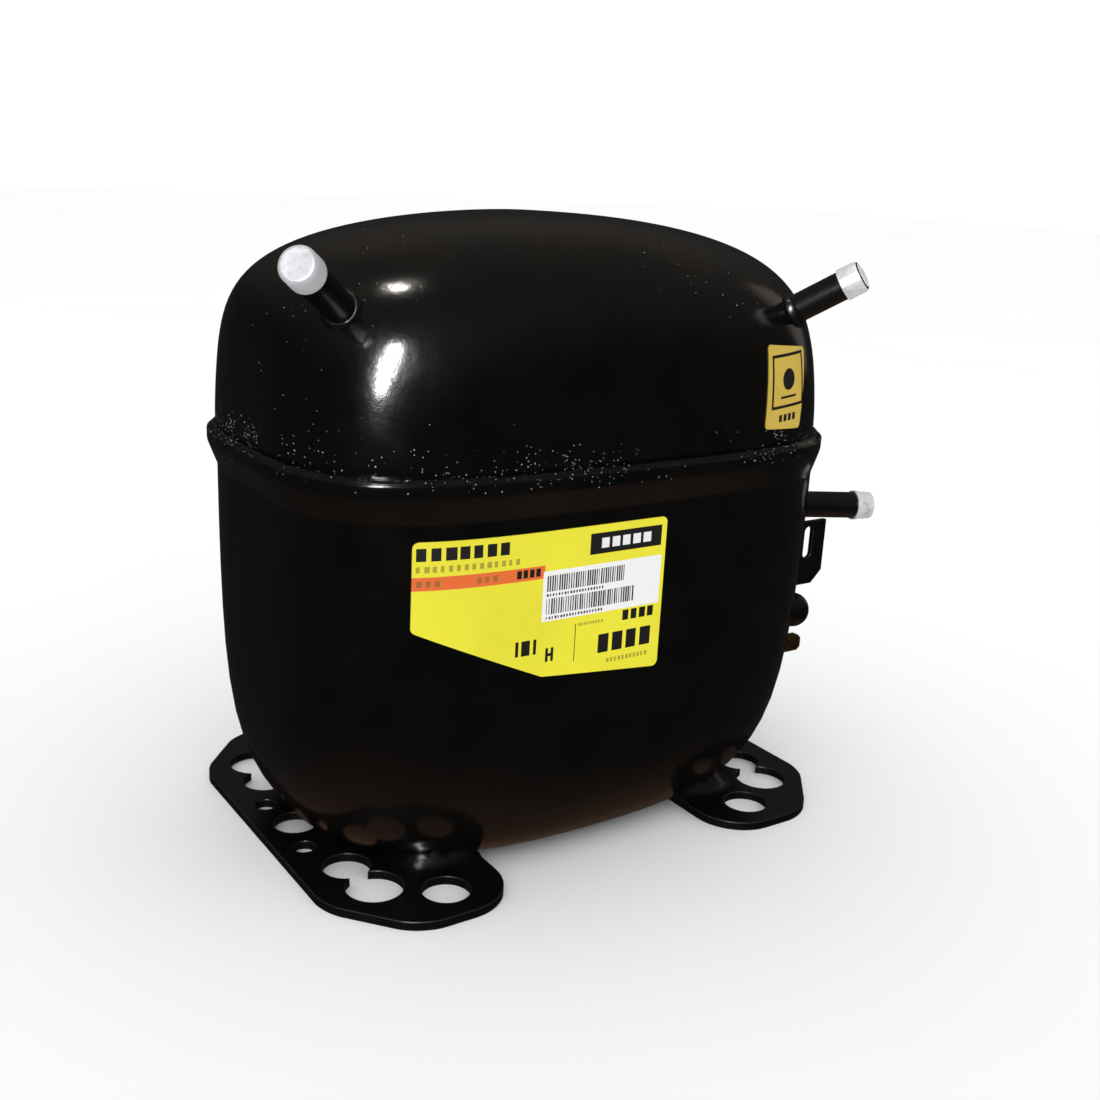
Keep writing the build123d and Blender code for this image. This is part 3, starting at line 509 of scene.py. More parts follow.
def metal_finish(name, colour, dark, roughness, brushed=(1.0, 1.0, 1.0), metallic=1.0, grain=700.0,
                 depth=0.00005, worn=0.4):
    """Bare metal: stretched grain, stains and brighter rubbed corners."""
    material, tree, shader, position = new_material(name)
    drawn = add_node(tree, "Mapping", {"Vector": position, "Scale": brushed}).outputs["Vector"]
    scratch = ripple(tree, drawn, grain, 4.0, 0.6)
    stain = limit(tree, ripple(tree, position, 90.0, 5.0, 0.6), 0.35, 0.72)
    base = blend_colour(tree, stain, colour, dark)
    corner = calc(tree, "MULTIPLY", worn_edge(tree, position, 0.0004), worn)
    base = blend_colour(tree, corner, base, tuple(min(1.0, 1.35 * part) for part in colour))
    rough = limit(tree, scratch, 0.25, 0.8, roughness * 0.8, roughness * 1.3, False)
    soft = add_node(tree, "Bevel", {"Radius": 0.00035}, samples=4).outputs[0]
    put(tree, shader, Base_Color=base, Roughness=rough, Metallic=metallic,
        Normal=relief(tree, scratch, 0.4, depth, soft))
    return material


def coated_cap_finish(name):
    """Pale coated aluminium of the two smaller caps, lightly scuffed."""
    material, tree, shader, position = new_material(name)
    scuff = ripple(tree, position, 900.0, 5.0, 0.65)
    stain = limit(tree, ripple(tree, position, 240.0, 4.0, 0.6), 0.52, 0.78)
    base = blend_colour(tree, stain, (0.78, 0.78, 0.79), (0.42, 0.42, 0.43))
    rough = limit(tree, scuff, 0.3, 0.7, 0.34, 0.52, False)
    put(tree, shader, Base_Color=base, Roughness=rough, Metallic=0.25,
        Normal=relief(tree, scuff, 0.35, 0.00008))
    return material


def plain_finish(name, colour, other, roughness, scale=180.0, depth=0.00006, **extra):
    """A mottled plain finish for plastic, glass, gasket and lacquer."""
    material, tree, shader, position = new_material(name)
    cloud = ripple(tree, position, scale, 4.0, 0.6)
    base = blend_colour(tree, limit(tree, cloud, 0.35, 0.68), colour, other)
    rough = limit(tree, cloud, 0.3, 0.7, roughness * 0.85, roughness * 1.2, False)
    fine = ripple(tree, position, scale * 7, 3.0, 0.6)
    put(tree, shader, Base_Color=base, Roughness=rough, Normal=relief(tree, fine, 0.35, depth), **extra)
    return material


def lamination_finish(name):
    """Stacked sheet steel: fine dark lines between the sheets."""
    material, tree, shader, position = new_material(name)
    z = height_of(tree, position)["Z"]
    sheet = calc(tree, "FRACT", calc(tree, "MULTIPLY", z, 1800.0))
    line = limit(tree, sheet, 0.0, 0.25, 1.0, 0.0)
    base = blend_colour(tree, line, (0.33, 0.34, 0.36), (0.03, 0.03, 0.035))
    blue = limit(tree, ripple(tree, position, 60.0, 4.0, 0.6), 0.45, 0.7)
    base = blend_colour(tree, blue, base, (0.11, 0.12, 0.17))
    put(tree, shader, Base_Color=base, Roughness=0.45, Metallic=1.0, Normal=relief(tree, line, 0.6, -0.0001))
    return material


def film_base(tree, position, colour):
    """A printed film with faint ripples and handling marks; returns its colour and height."""
    cloud = limit(tree, ripple(tree, position, 28.0, 4.0, 0.6), 0.35, 0.7)
    base = blend_colour(tree, cloud, colour, tuple(0.93 * part for part in colour))
    return base, ripple(tree, position, 95.0, 3.0, 0.5)


def greatest(tree, masks):
    """All masks as one."""
    joined = masks[0]
    for mask in masks[1:]:
        joined = calc(tree, "MAXIMUM", joined, mask)
    return joined


def blocks(tree, x, z, rows):
    """Plain printed rectangles: (left, right, bottom, top) in millimetres."""
    return [use_group(tree, "Print Block", {"X": x, "Z": z, "Left": left * MM, "Right": right * MM,
                                            "Bottom": bottom * MM, "Top": top * MM})["Mask"]
            for left, right, bottom, top in rows]


def words(tree, x, z, rows):
    """Rows of plain print blocks: (left, bottom, width, height, count, fill, seed, vary) in millimetres."""
    names = ("Left", "Bottom", "Width", "Height", "Blocks", "Fill", "Seed", "Vary")
    made = []
    for row in rows:
        sized = [value * MM for value in row[:4]] + list(row[4:])
        made.append(use_group(tree, "Print Word", {"X": x, "Z": z, **dict(zip(names, sized))})["Mask"])
    return made


def rating_label_finish(name):
    """Yellow rating label: orange band, pale data panel and plain blocks in place of print."""
    material, tree, shader, position = new_material(name)
    look = looks()
    parts = height_of(tree, position)
    x, z = parts["X"], parts["Z"]
    base, dents = film_base(tree, position, look.label)
    band = blocks(tree, x, z, [(-90.0, -33.5, 104.3, 108.5)])[0]
    base = blend_colour(tree, band, base, look.band)
    faint = greatest(tree, words(tree, x, z, [
        (-75.6, 109.9, 34.0, 1.9, 14.0, 0.66, 3.0, 0.25), (-75.4, 105.4, 8.0, 1.9, 3.0, 0.7, 9.0, 0.2),
        (-57.0, 105.4, 8.0, 1.9, 3.0, 0.7, 14.0, 0.2), (-8.0, 72.2, 17.0, 1.5, 11.0, 0.68, 41.0, 0.2),
        (-20.0, 86.6, 10.0, 1.0, 9.0, 0.7, 51.0, 0.2)]))
    base = blend_colour(tree, calc(tree, "MULTIPLY", faint, 0.62), base, (0.16, 0.12, 0.02))
    panel = blocks(tree, x, z, [(-34.0, 11.8, 90.0, 106.5)])[0]
    base = blend_colour(tree, panel, base, (0.86, 0.86, 0.85))
    ink = words(tree, x, z, [
        (-75.6, 113.4, 30.5, 4.0, 7.0, 0.8, 2.0, 0.15), (-43.5, 105.2, 9.0, 2.6, 4.0, 0.78, 5.0, 0.1),
        (-32.5, 99.7, 30.0, 5.2, 34.0, 0.75, 21.0, 0.5), (-32.5, 92.2, 34.0, 5.2, 38.0, 0.75, 77.0, 0.5),
        (-2.6, 85.9, 13.4, 3.5, 4.0, 0.76, 31.0, 0.1), (-11.8, 76.0, 22.4, 6.4, 4.0, 0.78, 35.0, 0.08),
        (-32.5, 98.1, 22.0, 0.9, 20.0, 0.65, 12.0, 0.3), (-32.5, 90.6, 22.0, 0.9, 20.0, 0.65, 15.0, 0.3)])
    ink += blocks(tree, x, z, [(-17.0, 11.2, 109.8, 116.7), (-21.15, -20.85, 75.0, 87.6),
                               (-43.0, -41.9, 79.6, 84.6), (-40.9, -37.8, 79.6, 84.6),
                               (-36.6, -35.5, 79.6, 84.6), (-32.0, -31.0, 76.4, 81.0),
                               (-30.0, -29.0, 76.4, 81.0), (-31.0, -30.0, 78.2, 79.2)])
    base = blend_colour(tree, greatest(tree, ink), base, look.ink)
    pale = greatest(tree, words(tree, x, z, [(-12.6, 111.6, 20.5, 3.3, 5.0, 0.78, 8.0, 0.1)]))
    base = blend_colour(tree, pale, base, (0.82, 0.82, 0.80))
    dent = relief(tree, dents, 0.25, 0.0004)
    put(tree, shader, Base_Color=base, Roughness=0.42, Normal=relief(tree, panel, 0.3, 0.00008, dent),
        Specular_IOR_Level=0.35)
    return material


def sticker_finish(name):
    """Small yellow sticker on the dome: a plain frame, a disc and a bar."""
    material, tree, shader, position = new_material(name)
    look = looks()
    parts = height_of(tree, position)
    x, z = parts["X"], parts["Z"]
    base, dents = film_base(tree, position, look.sticker)
    lean = calc(tree, "MULTIPLY_ADD", calc(tree, "SUBTRACT", x, 0.0635), -0.03, z)
    outer = blocks(tree, x, lean, [(55.0, 74.2, 151.4, 169.4)])[0]
    inner = blocks(tree, x, lean, [(56.0, 73.2, 152.4, 168.4)])[0]
    ring = calc(tree, "SUBTRACT", outer, inner)
    across = calc(tree, "SUBTRACT", x, 0.0646)
    up = calc(tree, "SUBTRACT", lean, 0.1608)
    reach = calc(tree, "SQRT", calc(tree, "ADD", calc(tree, "MULTIPLY", across, across),
                                    calc(tree, "MULTIPLY", up, up)))
    disc = calc(tree, "LESS_THAN", reach, 0.0036)
    bars = blocks(tree, x, lean, [(60.0, 69.2, 154.6, 155.4)])
    bars += words(tree, x, lean, [(59.5, 146.8, 10.5, 2.4, 4.0, 0.74, 6.0, 0.1)])
    ink = greatest(tree, [ring, disc] + bars)
    base = blend_colour(tree, ink, base, look.ink)
    put(tree, shader, Base_Color=base, Roughness=0.45, Normal=relief(tree, dents, 0.3, 0.0005),
        Specular_IOR_Level=0.35)
    return material


def make_finishes():
    """Every finish, by the record's slot name."""
    aluminium = (0.62, 0.62, 0.65)
    return {
        "shell_paint": paint_finish("Black Enamel"),
        "bracket_paint": paint_finish("Black Bracket Enamel", roughness=0.26, spatter=0.1, worn=0.6),
        "cap_aluminium": metal_finish("Cap Aluminium", aluminium, (0.47, 0.47, 0.50), 0.42, metallic=0.25,
                                      depth=0.00008),
        "cap_coated": coated_cap_finish("Coated Cap"),
        "plain_steel": metal_finish("Plain Steel", (0.50, 0.50, 0.50), (0.24, 0.23, 0.22), 0.34),
        "glass_seal": plain_finish("Fused Glass", (0.02, 0.05, 0.04), (0.03, 0.08, 0.06), 0.12,
                                   Coat_Weight=0.6),
        "pin_steel": metal_finish("Pin Steel", (0.46, 0.45, 0.43), (0.25, 0.22, 0.20), 0.28, (0.2, 1, 1)),
        "brass": metal_finish("Brass", (0.30, 0.18, 0.055), (0.10, 0.055, 0.02), 0.4, depth=0.00008),
        "label_yellow": rating_label_finish("Rating Label Film"),
        "side_label": sticker_finish("Sticker Film"),
        "spring_steel": metal_finish("Spring Steel", (0.34, 0.33, 0.32), (0.14, 0.13, 0.12), 0.3),
        "white_plastic": plain_finish("White Plastic", (0.78, 0.77, 0.73), (0.68, 0.67, 0.62), 0.4,
                                      Subsurface_Weight=0.05),
        "lead_insulation": plain_finish("Lead Insulation", (0.32, 0.03, 0.025), (0.24, 0.02, 0.02), 0.5),
        "lamination_steel": lamination_finish("Lamination Steel"),
        "enamelled_copper": metal_finish("Enamelled Copper", (0.62, 0.22, 0.07), (0.42, 0.12, 0.035), 0.25,
                                         (1, 1, 6), metallic=0.85, grain=500.0, depth=0.0003),
        "cage_aluminium": metal_finish("Cage Aluminium", (0.62, 0.62, 0.63), (0.40, 0.40, 0.42), 0.5),
        "block_iron": metal_finish("Block Iron", (0.16, 0.155, 0.15), (0.08, 0.075, 0.07), 0.62, metallic=0.8,
                                   grain=900.0, depth=0.0003),
        "bearing_bronze": metal_finish("Bearing Bronze", (0.46, 0.27, 0.11), (0.26, 0.14, 0.06), 0.36),
        "gasket": plain_finish("Gasket", (0.10, 0.11, 0.12), (0.06, 0.065, 0.07), 0.8, scale=500.0),
        "machined_steel": metal_finish("Machined Steel", (0.56, 0.56, 0.57), (0.40, 0.40, 0.42), 0.24),
    }


FINISHES = {}


def node_slots():
    """Material slot of each CAD node, as the record gives it."""
    return {row["node"]: row["material_slot"] for row in frame["record"]["subparts"]}


# ---- pieces -----------------------------------------------------------------------------
def lower_can_outlines():
    """From the outside bottom up to the rim, over it and down the inside; also the crisp rings."""
    size = can()
    shares = (0.0, 0.004, 0.012, 0.022, 0.036, 0.054, 0.078, 0.11, 0.15, 0.2, 0.27, 0.36, 0.46, 0.58, 0.7,
              0.82, 0.92, 0.97, 1.0)
    height = size.crease_z - size.floor_z
    rows = [lower_outline(size.floor_z + share * height) for share in shares]
    crisp = [len(rows) - 1]
    shoulder = rim_outline(size.rim_z - 0.004)
    rows += [between(rows[-1], shoulder, share) for share in (0.25, 0.5, 0.75, 1.0)]
    crisp.append(len(rows) - 1)
    rows += [rim_outline(size.rim_z - 0.002), rim_outline(size.rim_z)]
    crisp.append(len(rows) - 1)
    lap_z = size.rim_z - size.lap
    rows += [rim_outline(size.rim_z, size.rim_wall), rim_outline(lap_z, size.rim_wall)]
    crisp.append(len(rows) - 2)
    skirt_inset = size.rim_wall + size.joint_gap + size.wall
    rows += [rim_outline(lap_z, skirt_inset), lower_outline(size.crease_z, size.wall)]
    inner = height - size.wall
    rows += [lower_outline(size.floor_z + size.wall + share * inner, size.wall)
             for share in reversed(shares[:-1])]
    return rows, crisp


def dome_outlines():
    """From the outside crown down to the skirt's lip and back up the inside; also the crisp rings."""
    size = can()
    lap_z = size.rim_z - size.lap
    neck_z = size.rim_z + 0.0015
    skirt = size.rim_wall + size.joint_gap
    shares = steps(0.0, 1.0, 40, 2.1)
    rise = size.crown_z - size.dome_start_z
    rows = [dome_outline(size.dome_start_z + share * rise) for share in reversed(shares)]
    crisp = [len(rows) - 1]
    rows += [rim_outline(neck_z, skirt), rim_outline(lap_z, skirt)]
    crisp += [len(rows) - 2]
    rows += [rim_outline(lap_z, skirt + size.wall), rim_outline(neck_z, skirt + size.wall)]
    inner = rise - size.wall
    rows += [dome_outline(size.dome_start_z + share * inner, size.wall) for share in shares]
    return rows, crisp


def can_piece(outlines, crisp, name, replaced):
    bm, rounded = ring_stack(outlines, RING_SEGMENTS, crisp)
    round_edges(bm, rounded, EDGE_ROUND)
    close_skin(bm)
    finish_piece(bm, name, "housing", FINISHES["shell_paint"], (replaced,))


def weld_bead_mesh():
    """The ring weld: a low crown with uneven overlapping ripples and lumps."""
    size = can()
    low = rim_outline(size.rim_z - 0.0002, 0.0004)
    inner = rim_outline(size.rim_z - 0.0002, size.rim_wall + size.joint_gap - 0.0001)
    top = rim_outline(size.rim_z + 0.0013, 0.0016)
    back = rim_outline(size.rim_z + 0.0013, size.rim_wall + size.joint_gap - 0.0001)
    rows = [low, between(low, top, 0.35), between(low, top, 0.75), top, between(top, back, 0.5), back, inner]
    bm, _ = ring_stack(rows, BEAD_SEGMENTS)
    bmesh.ops.bridge_loops(bm, edges=[edge for edge in bm.edges if edge.is_boundary])
    for vert in bm.verts:
        share = (vert.co.z - low[3]) / (top[3] - low[3])
        if share > 0.1:
            turn = math.atan2(vert.co.y, vert.co.x)
            wave = 0.5 + 0.5 * math.sin(turn * BEAD_RIPPLES + 1.6 * noise.noise(vert.co * 120) + share * 1.5)
            lump = noise.noise(vert.co * 260) + 0.7 * noise.noise(vert.co * 700)
            out = Vector((vert.co.x, vert.co.y, 0)).normalized()
            vert.co += out * (0.00016 * lump - 0.00012 * wave) * share
            vert.co.z += min(0.00022 * lump + 0.00010 * wave, 0.00030) * share
    bmesh.ops.recalc_face_normals(bm, faces=bm.faces)
    return bm


CONNECTORS = {
    "suction": ((-0.0890, -0.0379, 0.1843), (-0.639, -0.659, 0.396), 0.0368, "cap_aluminium"),
    "process": ((0.0764, -0.0500, 0.1822), (0.513, -0.680, 0.524), 0.0258, "cap_aluminium"),
    "discharge": ((0.1002, -0.0340, 0.1065), (0.953, -0.301, -0.041), 0.0334, "cap_coated"),
}


def tube_mesh(reach):
    """A drawn steel stub with a rolled lip, open from end to end."""
    size = pipes()
    outer, bore, start = size.tube_radius, size.tube_bore, -size.tube_inside
    lip = TUBE_LIP
    profile = [(bore, start), (outer, start)]
    profile += [(outer, start + share * (reach - start)) for share in (0.25, 0.5, 0.75, 0.96)]
    profile += [(outer, reach - lip), (outer - lip, reach), (bore + lip, reach), (bore, reach - lip)]
    profile += [(bore, start)]
    return spun(profile, TUBE_SEGMENTS)


def braze_mesh(seed):
    """The fillet of braze round a connector's foot, slightly uneven."""
    size = pipes()
    inner, outer = size.tube_radius - 0.0001, size.braze_radius
    profile = [(inner, 0.0021), (inner + 0.00035, 0.0020), (inner + 0.0008, 0.0015), (outer - 0.0002, 0.0008),
               (outer + 0.0001, -0.0006), (outer, -0.0026), (inner, -0.0026), (inner, 0.0021)]
    bm = spun(profile, BRAZE_SEGMENTS)
    for vert in bm.verts:
        reach = math.hypot(vert.co.x, vert.co.y)
        if reach > inner + 0.0001:
            swell = noise.noise(vert.co * 330 + Vector((seed, 0, 0)))
            scale = 1 + 0.030 * swell
            vert.co.x *= scale
            vert.co.y *= scale
            vert.co.z += 0.00022 * noise.noise(vert.co * 420 + Vector((0, seed, 0)))
    return bm


def cap_profile(kind):
    """Outline of a cap from the middle of its closed end to the lip and back inside."""
    size = pipes()
    radius, length, end = size.cap_radius, size.cap_length, size.cap_end
    if kind == "suction":
        face = [(0.0, 0.0), (radius - 0.0011, 0.0), (radius - 0.0009, -0.00006), (radius - 0.0004, -0.0005),
                (radius - 0.0001, -0.0012), (radius - 0.0001, -0.0042), (radius, -0.0050)]
    elif kind == "process":
        face = [(0.0, 0.0), (radius * 0.45, -0.0001), (radius * 0.75, -0.0005), (radius * 0.93, -0.0012),
                (radius - 0.0001, -0.0022), (radius - 0.0001, -0.0062), (radius, -0.0070)]
    else:
        face = [(0.0, 0.0), (radius * 0.42, -0.0002), (radius * 0.70, -0.0008), (radius * 0.86, -0.0018),
                (radius * 0.93, -0.0032), (radius * 0.94, -0.0056), (radius, -0.0068)]
    inside = radius - CAP_WALL
    return face + [(radius, -length), (inside, -length), (inside - 0.00004, -end), (0.0, -end)]


def cap_mesh(kind):
    bm = spun(cap_profile(kind), CAP_SEGMENTS)
    ribs = 32 if kind == "suction" else 24
    for vert in bm.verts:
        reach = math.hypot(vert.co.x, vert.co.y)
        if reach > pipes().cap_radius - 0.0003 and vert.co.z < -0.004:
            turn = math.atan2(vert.co.y, vert.co.x)
            pinch = 1 - 0.012 * (0.5 + 0.5 * math.cos(ribs * turn))
            vert.co.x *= pinch
            vert.co.y *= pinch
    if kind == "suction":
        dent = Vector((-0.0004, 0.0007, 0))
        near = [face for face in bm.faces if abs(face.calc_center_median().z) < 1e-5]
        bmesh.ops.inset_region(bm, faces=near, thickness=0.0003, depth=0.0)
        bmesh.ops.translate(bm, verts=[vert for vert in bm.verts
                                       if vert.co.z > -1e-5 and (vert.co - dent).length < 0.0012],
                            vec=(0, 0, -0.00022))
    return bm


def rounded_prism(corners, low, high):
    """A straight block with the outline (x, y, corner radius) between two heights."""
    bm = bmesh.new()
    verts = [bm.verts.new((x * MM, y * MM, low)) for x, y, _ in corners]
    bm.faces.new(verts)
    radii = {vert: radius * MM for vert, (_, _, radius) in zip(verts, corners)}
    for vert, radius in radii.items():
        ahead, behind = [edge.other_vert(vert).co - vert.co for edge in vert.link_edges][:2]
        half = ahead.angle(behind) / 2
        bmesh.ops.bevel(bm, geom=[vert], offset=radius / math.tan(half), offset_type="OFFSET",
                        affect="VERTICES", segments=12, profile=0.5, material=-1)
    made = bmesh.ops.extrude_face_region(bm, geom=list(bm.faces))["geom"]
    bmesh.ops.translate(bm, verts=[item for item in made if isinstance(item, bmesh.types.BMVert)],
                        vec=(0, 0, high - low))
    bmesh.ops.recalc_face_normals(bm, faces=bm.faces)
    return bm


def scratch_object(bm, name):
    mesh = bpy.data.meshes.new(name)
    bm.to_mesh(mesh)
    bm.free()
    made = bpy.data.objects.new(name, mesh)
    bpy.context.scene.collection.objects.link(made)
    return made


def cut(bm, cutters):
    """The mesh after each (operation, cutter) in turn."""
    body = scratch_object(bm, "cut_body")
    tools = [scratch_object(cutter, "cut_tool") for _, cutter in cutters]
    for (operation, _), tool in zip(cutters, tools):
        step = body.modifiers.new("cut", "BOOLEAN")
        step.operation = operation
        step.solver = "EXACT"
        step.object = tool
    result = bmesh.new()
    result.from_mesh(body.evaluated_get(bpy.context.evaluated_depsgraph_get()).to_mesh())
    for scrap in [body] + tools:
        bpy.data.objects.remove(scrap)
    return result


def can_height(x, y):
    """Height of the lower can's outside above the point (x, y), or the crease beyond it."""
    low, high = can().floor_z, can().crease_z
    for _ in range(18):
        middle = (low + high) / 2
        half_x, half_y, power, _ = lower_outline(middle)
        if (abs(x) / half_x) ** power + (abs(y) / half_y) ** power > 1:
            low = middle
        else:
            high = middle
    return high


FOOT_CORNERS = ((101.3, 53.0, 18.0), (80.0, 78.3, 18.0), (43.0, 78.3, 18.0), (43.0, 36.0, 6.0),
                (77.0, 17.0, 6.0), (77.0, 4.5, 1.0), (62.0, 4.5, 1.0))
FOOT_HOLES = ((85.0, 35.0, 8.0), (82.55, 50.8, 9.5), (63.5, 63.5, 8.0), (92.0, 17.0, 3.8))
CENTRE_HOLE = (88.0, 0.0, 7.5)
FOOT_THICKNESS = 3.0
FOOT_BLANK_MIDDLE, FOOT_BLANK_SIZE = 72.5, (63.0, 162.0)
HOLE_SEGMENTS = 56
CUTTER_DEPTH = 0.05
SEAT_MIDDLE, SEAT_REACH, SEAT_RISE = (54.0, 38.5), (18.0, 15.0), 8.0


def foot_lift(x, y):
    """Height of a foot's upper face in millimetres: flat plate, swept up to the can at its two seats."""
    across = abs(x - SEAT_MIDDLE[0]) / SEAT_REACH[0]
    along = abs(abs(y) - SEAT_MIDDLE[1]) / SEAT_REACH[1]
    reach = (across ** 2.6 + along ** 2.6) ** (1 / 2.6)
    share = min(max((1.0 - reach) / 0.62, 0.0), 1.0)
    rise = SEAT_RISE * share * share * (3 - 2 * share)
    return FOOT_THICKNESS + min(rise, max(can_height(x * MM, y * MM) / MM + 0.4 - FOOT_THICKNESS, 0.0))


def foot_mesh(side):
    """A pressed foot plate with its bolt holes, tab and the two swept seats that carry the can."""
    bm = bmesh.new()
    bmesh.ops.create_grid(bm, x_segments=46, y_segments=112, size=0.5)
    stretch = Matrix.Diagonal((FOOT_BLANK_SIZE[0] * MM, FOOT_BLANK_SIZE[1] * MM, 1, 1))
    middle = Matrix.Translation((FOOT_BLANK_MIDDLE * MM, 0, 0))
    bmesh.ops.transform(bm, matrix=middle @ stretch, verts=bm.verts)
    made = bmesh.ops.extrude_face_region(bm, geom=list(bm.faces))["geom"]
    for vert in [item for item in made if isinstance(item, bmesh.types.BMVert)]:
        vert.co.z = foot_lift(vert.co.x / MM, vert.co.y / MM) * MM
    bmesh.ops.recalc_face_normals(bm, faces=bm.faces)
    corners = list(FOOT_CORNERS) + [(x, -y, radius) for x, y, radius in reversed(FOOT_CORNERS)]
    cutters = [("INTERSECT", rounded_prism(corners, -0.02, 0.05))]
    places = [(x, sign * y, radius) for x, y, radius in FOOT_HOLES for sign in (-1, 1)] + [CENTRE_HOLE]
    for x, y, radius in places:
        hole = bmesh.new()
        bmesh.ops.create_cone(hole, cap_ends=True, segments=HOLE_SEGMENTS, radius1=radius * MM,
                              radius2=radius * MM, depth=CUTTER_DEPTH,
                              matrix=Matrix.Translation((x * MM, y * MM, 0)))
        cutters.append(("DIFFERENCE", hole))
    bm = cut(bm, cutters)
    bmesh.ops.remove_doubles(bm, verts=bm.verts, dist=2e-6)
    if side < 0:
        bmesh.ops.scale(bm, vec=(-1, 1, 1), verts=bm.verts)
    bmesh.ops.recalc_face_normals(bm, faces=bm.faces)
    return bm


# ---- stage ------------------------------------------------------------------------------
def make_floor():
    bm = bmesh.new()
    bmesh.ops.create_grid(bm, x_segments=4, y_segments=4, size=6.0)
    mesh = bpy.data.meshes.new("studio_floor")
    bm.to_mesh(mesh)
    bm.free()
    floor = bpy.data.objects.new("studio_floor", mesh)
    bpy.context.scene.collection.objects.link(floor)
    material, tree, shader, position = new_material("Studio Floor")
    tone = stage_look().floor
    cloud = limit(tree, ripple(tree, position, 3.0), 0.3, 0.7)
    colour = blend_colour(tree, cloud, tone, tuple(0.985 * part for part in tone))
    put(tree, shader, Base_Color=colour, Roughness=0.9, Specular_IOR_Level=0.0)
    mesh.materials.append(material)
    floor.visible_glossy = False


def add_lamp(name, place, aim, size, power, lights, colour=(1.0, 1.0, 1.0), roll=0.0):
    """A soft lamp; lights is "matt" (a rectangle, no highlights) or "gloss" (round, highlights only)."""
    data = bpy.data.lights.new(name, "AREA")
    data.shape = "ELLIPSE" if lights == "gloss" else "RECTANGLE"
    data.size, data.size_y = size
    data.energy = power
    data.color = colour
    lamp = bpy.data.objects.new(name, data)
    bpy.context.scene.collection.objects.link(lamp)
    lamp.location = place
    facing = (Vector(aim) - Vector(place)).to_track_quat("-Z", "Y")
    lamp.rotation_euler = (facing @ Quaternion((0.0, 0.0, 1.0), roll)).to_euler()
    lamp.visible_glossy = lights != "matt"
    lamp.visible_diffuse = lights != "gloss"


def make_lamps():
    """Soft matt fill from above and in front."""
    look = stage_look()
    middle = (0.0, 0.0, 0.1)
    add_lamp("ceiling_fill", (-0.3, -0.4, 1.8), middle, (1.8, 1.8), look.fill_power * 0.25, "matt")
    add_lamp("front_fill", (-0.7, -1.5, 0.7), middle, (1.2, 1.0), look.fill_power * 0.12, "matt")


def reflected_lamps():
    """Lamps seen in the enamel: (name, spot, direction, reach, size, share, colour, roll)."""
    look = stage_look()
    for name, spot, aim, reach, size, share, colour, roll in (
            ("key_softbox", (-0.0811, -0.0527, 0.1705), (-0.585, -0.707, 0.395), 1.3, (0.085, 0.60), 0.62,
             (0.97, 0.98, 1.0), -0.3),
            ("top_spot", (-0.0742, -0.0435, 0.1908), (-0.129, 0.024, 0.991), 1.2, (0.025, 0.13), 0.05,
             (1.0, 0.96, 0.86), 1.5),
            ("right_wall", (0.10, 0.0, 0.09), (0.95, 0.1, 0.3), 1.5, (0.4, 0.9), 0.005,
             (1.0, 0.9, 0.8), 0.0)):
        spot, aim = Vector(spot), Vector(aim).normalized()
        add_lamp(name, spot + reach * aim, spot, size, look.key_power * share, "gloss", colour, roll)


def make_world():
    """White surroundings; the enamel reflects dim walls and a warm bench instead."""
    world = bpy.data.worlds.new("Studio")
    bpy.context.scene.world = world
    world.use_nodes = True
    world.cycles.sampling_method = "NONE"
    tree = world.node_tree
    tree.nodes.clear()
    way = height_of(tree, add_node(tree, "TexCoord").outputs["Generated"])
    upper = blend_colour(tree, limit(tree, way["Z"], 0.05, 0.75), WALL_LIGHT, CEILING_LIGHT)
    dim = blend_colour(tree, limit(tree, way["Z"], -0.50, -0.86), upper, BENCH_LIGHT)
    mirrored = add_node(tree, "LightPath").outputs["Is Glossy Ray"]
    colour = blend_colour(tree, mirrored, SURROUND_LIGHT, dim)
    shade = add_node(tree, "Background", {"Color": colour})
    output = tree.nodes.new("ShaderNodeOutputWorld")
    tree.links.new(shade.outputs[0], output.inputs["Surface"])


CAMERA_PLACE = (-0.250778, -0.386726, 0.228034)
CAMERA_YAW, CAMERA_PITCH, CAMERA_ROLL = 0.59919, 0.28778, -0.05087


def make_camera():
    data = bpy.data.cameras.new("studio_camera")
    data.lens = stage_look().lens
    data.sensor_width = 36.0
    data.clip_start = 0.01
    camera = bpy.data.objects.new("studio_camera", data)
    bpy.context.scene.collection.objects.link(camera)
    yaw, pitch, roll = CAMERA_YAW, CAMERA_PITCH, CAMERA_ROLL
    ahead = Vector((math.sin(yaw) * math.cos(pitch), math.cos(yaw) * math.cos(pitch), -math.sin(pitch)))
    side = Vector((math.cos(yaw), -math.sin(yaw), 0.0))
    down = ahead.cross(side)
    right = math.cos(roll) * side + math.sin(roll) * down
    below = -math.sin(roll) * side + math.cos(roll) * down
    turn = Matrix((right, -below, -ahead)).transposed().to_4x4()
    camera.matrix_world = Matrix.Translation(CAMERA_PLACE) @ turn
    bpy.context.scene.camera = camera


# ---- operators --------------------------------------------------------------------------
class COMPRESSOR_OT_finishes(bpy.types.Operator):
    """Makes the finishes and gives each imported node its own"""
    bl_idname = "compressor.finishes"
    bl_label = "Finishes"

    def execute(self, context):
        make_groups()
        FINISHES.update(make_finishes())
        slots = node_slots()
        for name, node in frame["nodes"].items():
            material = FINISHES["side_label" if name == "side_label" else slots[name]]
            for slot in node.material_slots:
                slot.material = material
            if not node.material_slots:
                node.data.materials.append(material)
        return {"FINISHED"}


class COMPRESSOR_OT_lower_can(bpy.types.Operator):
    """Models the lower can with its rounded bottom, crease and flared rim"""
    bl_idname = "compressor.lower_can"
    bl_label = "Lower can"

    def execute(self, context):
        outlines, crisp = lower_can_outlines()
        can_piece(outlines, crisp, "lower_can", "lower_shell")
        return {"FINISHED"}


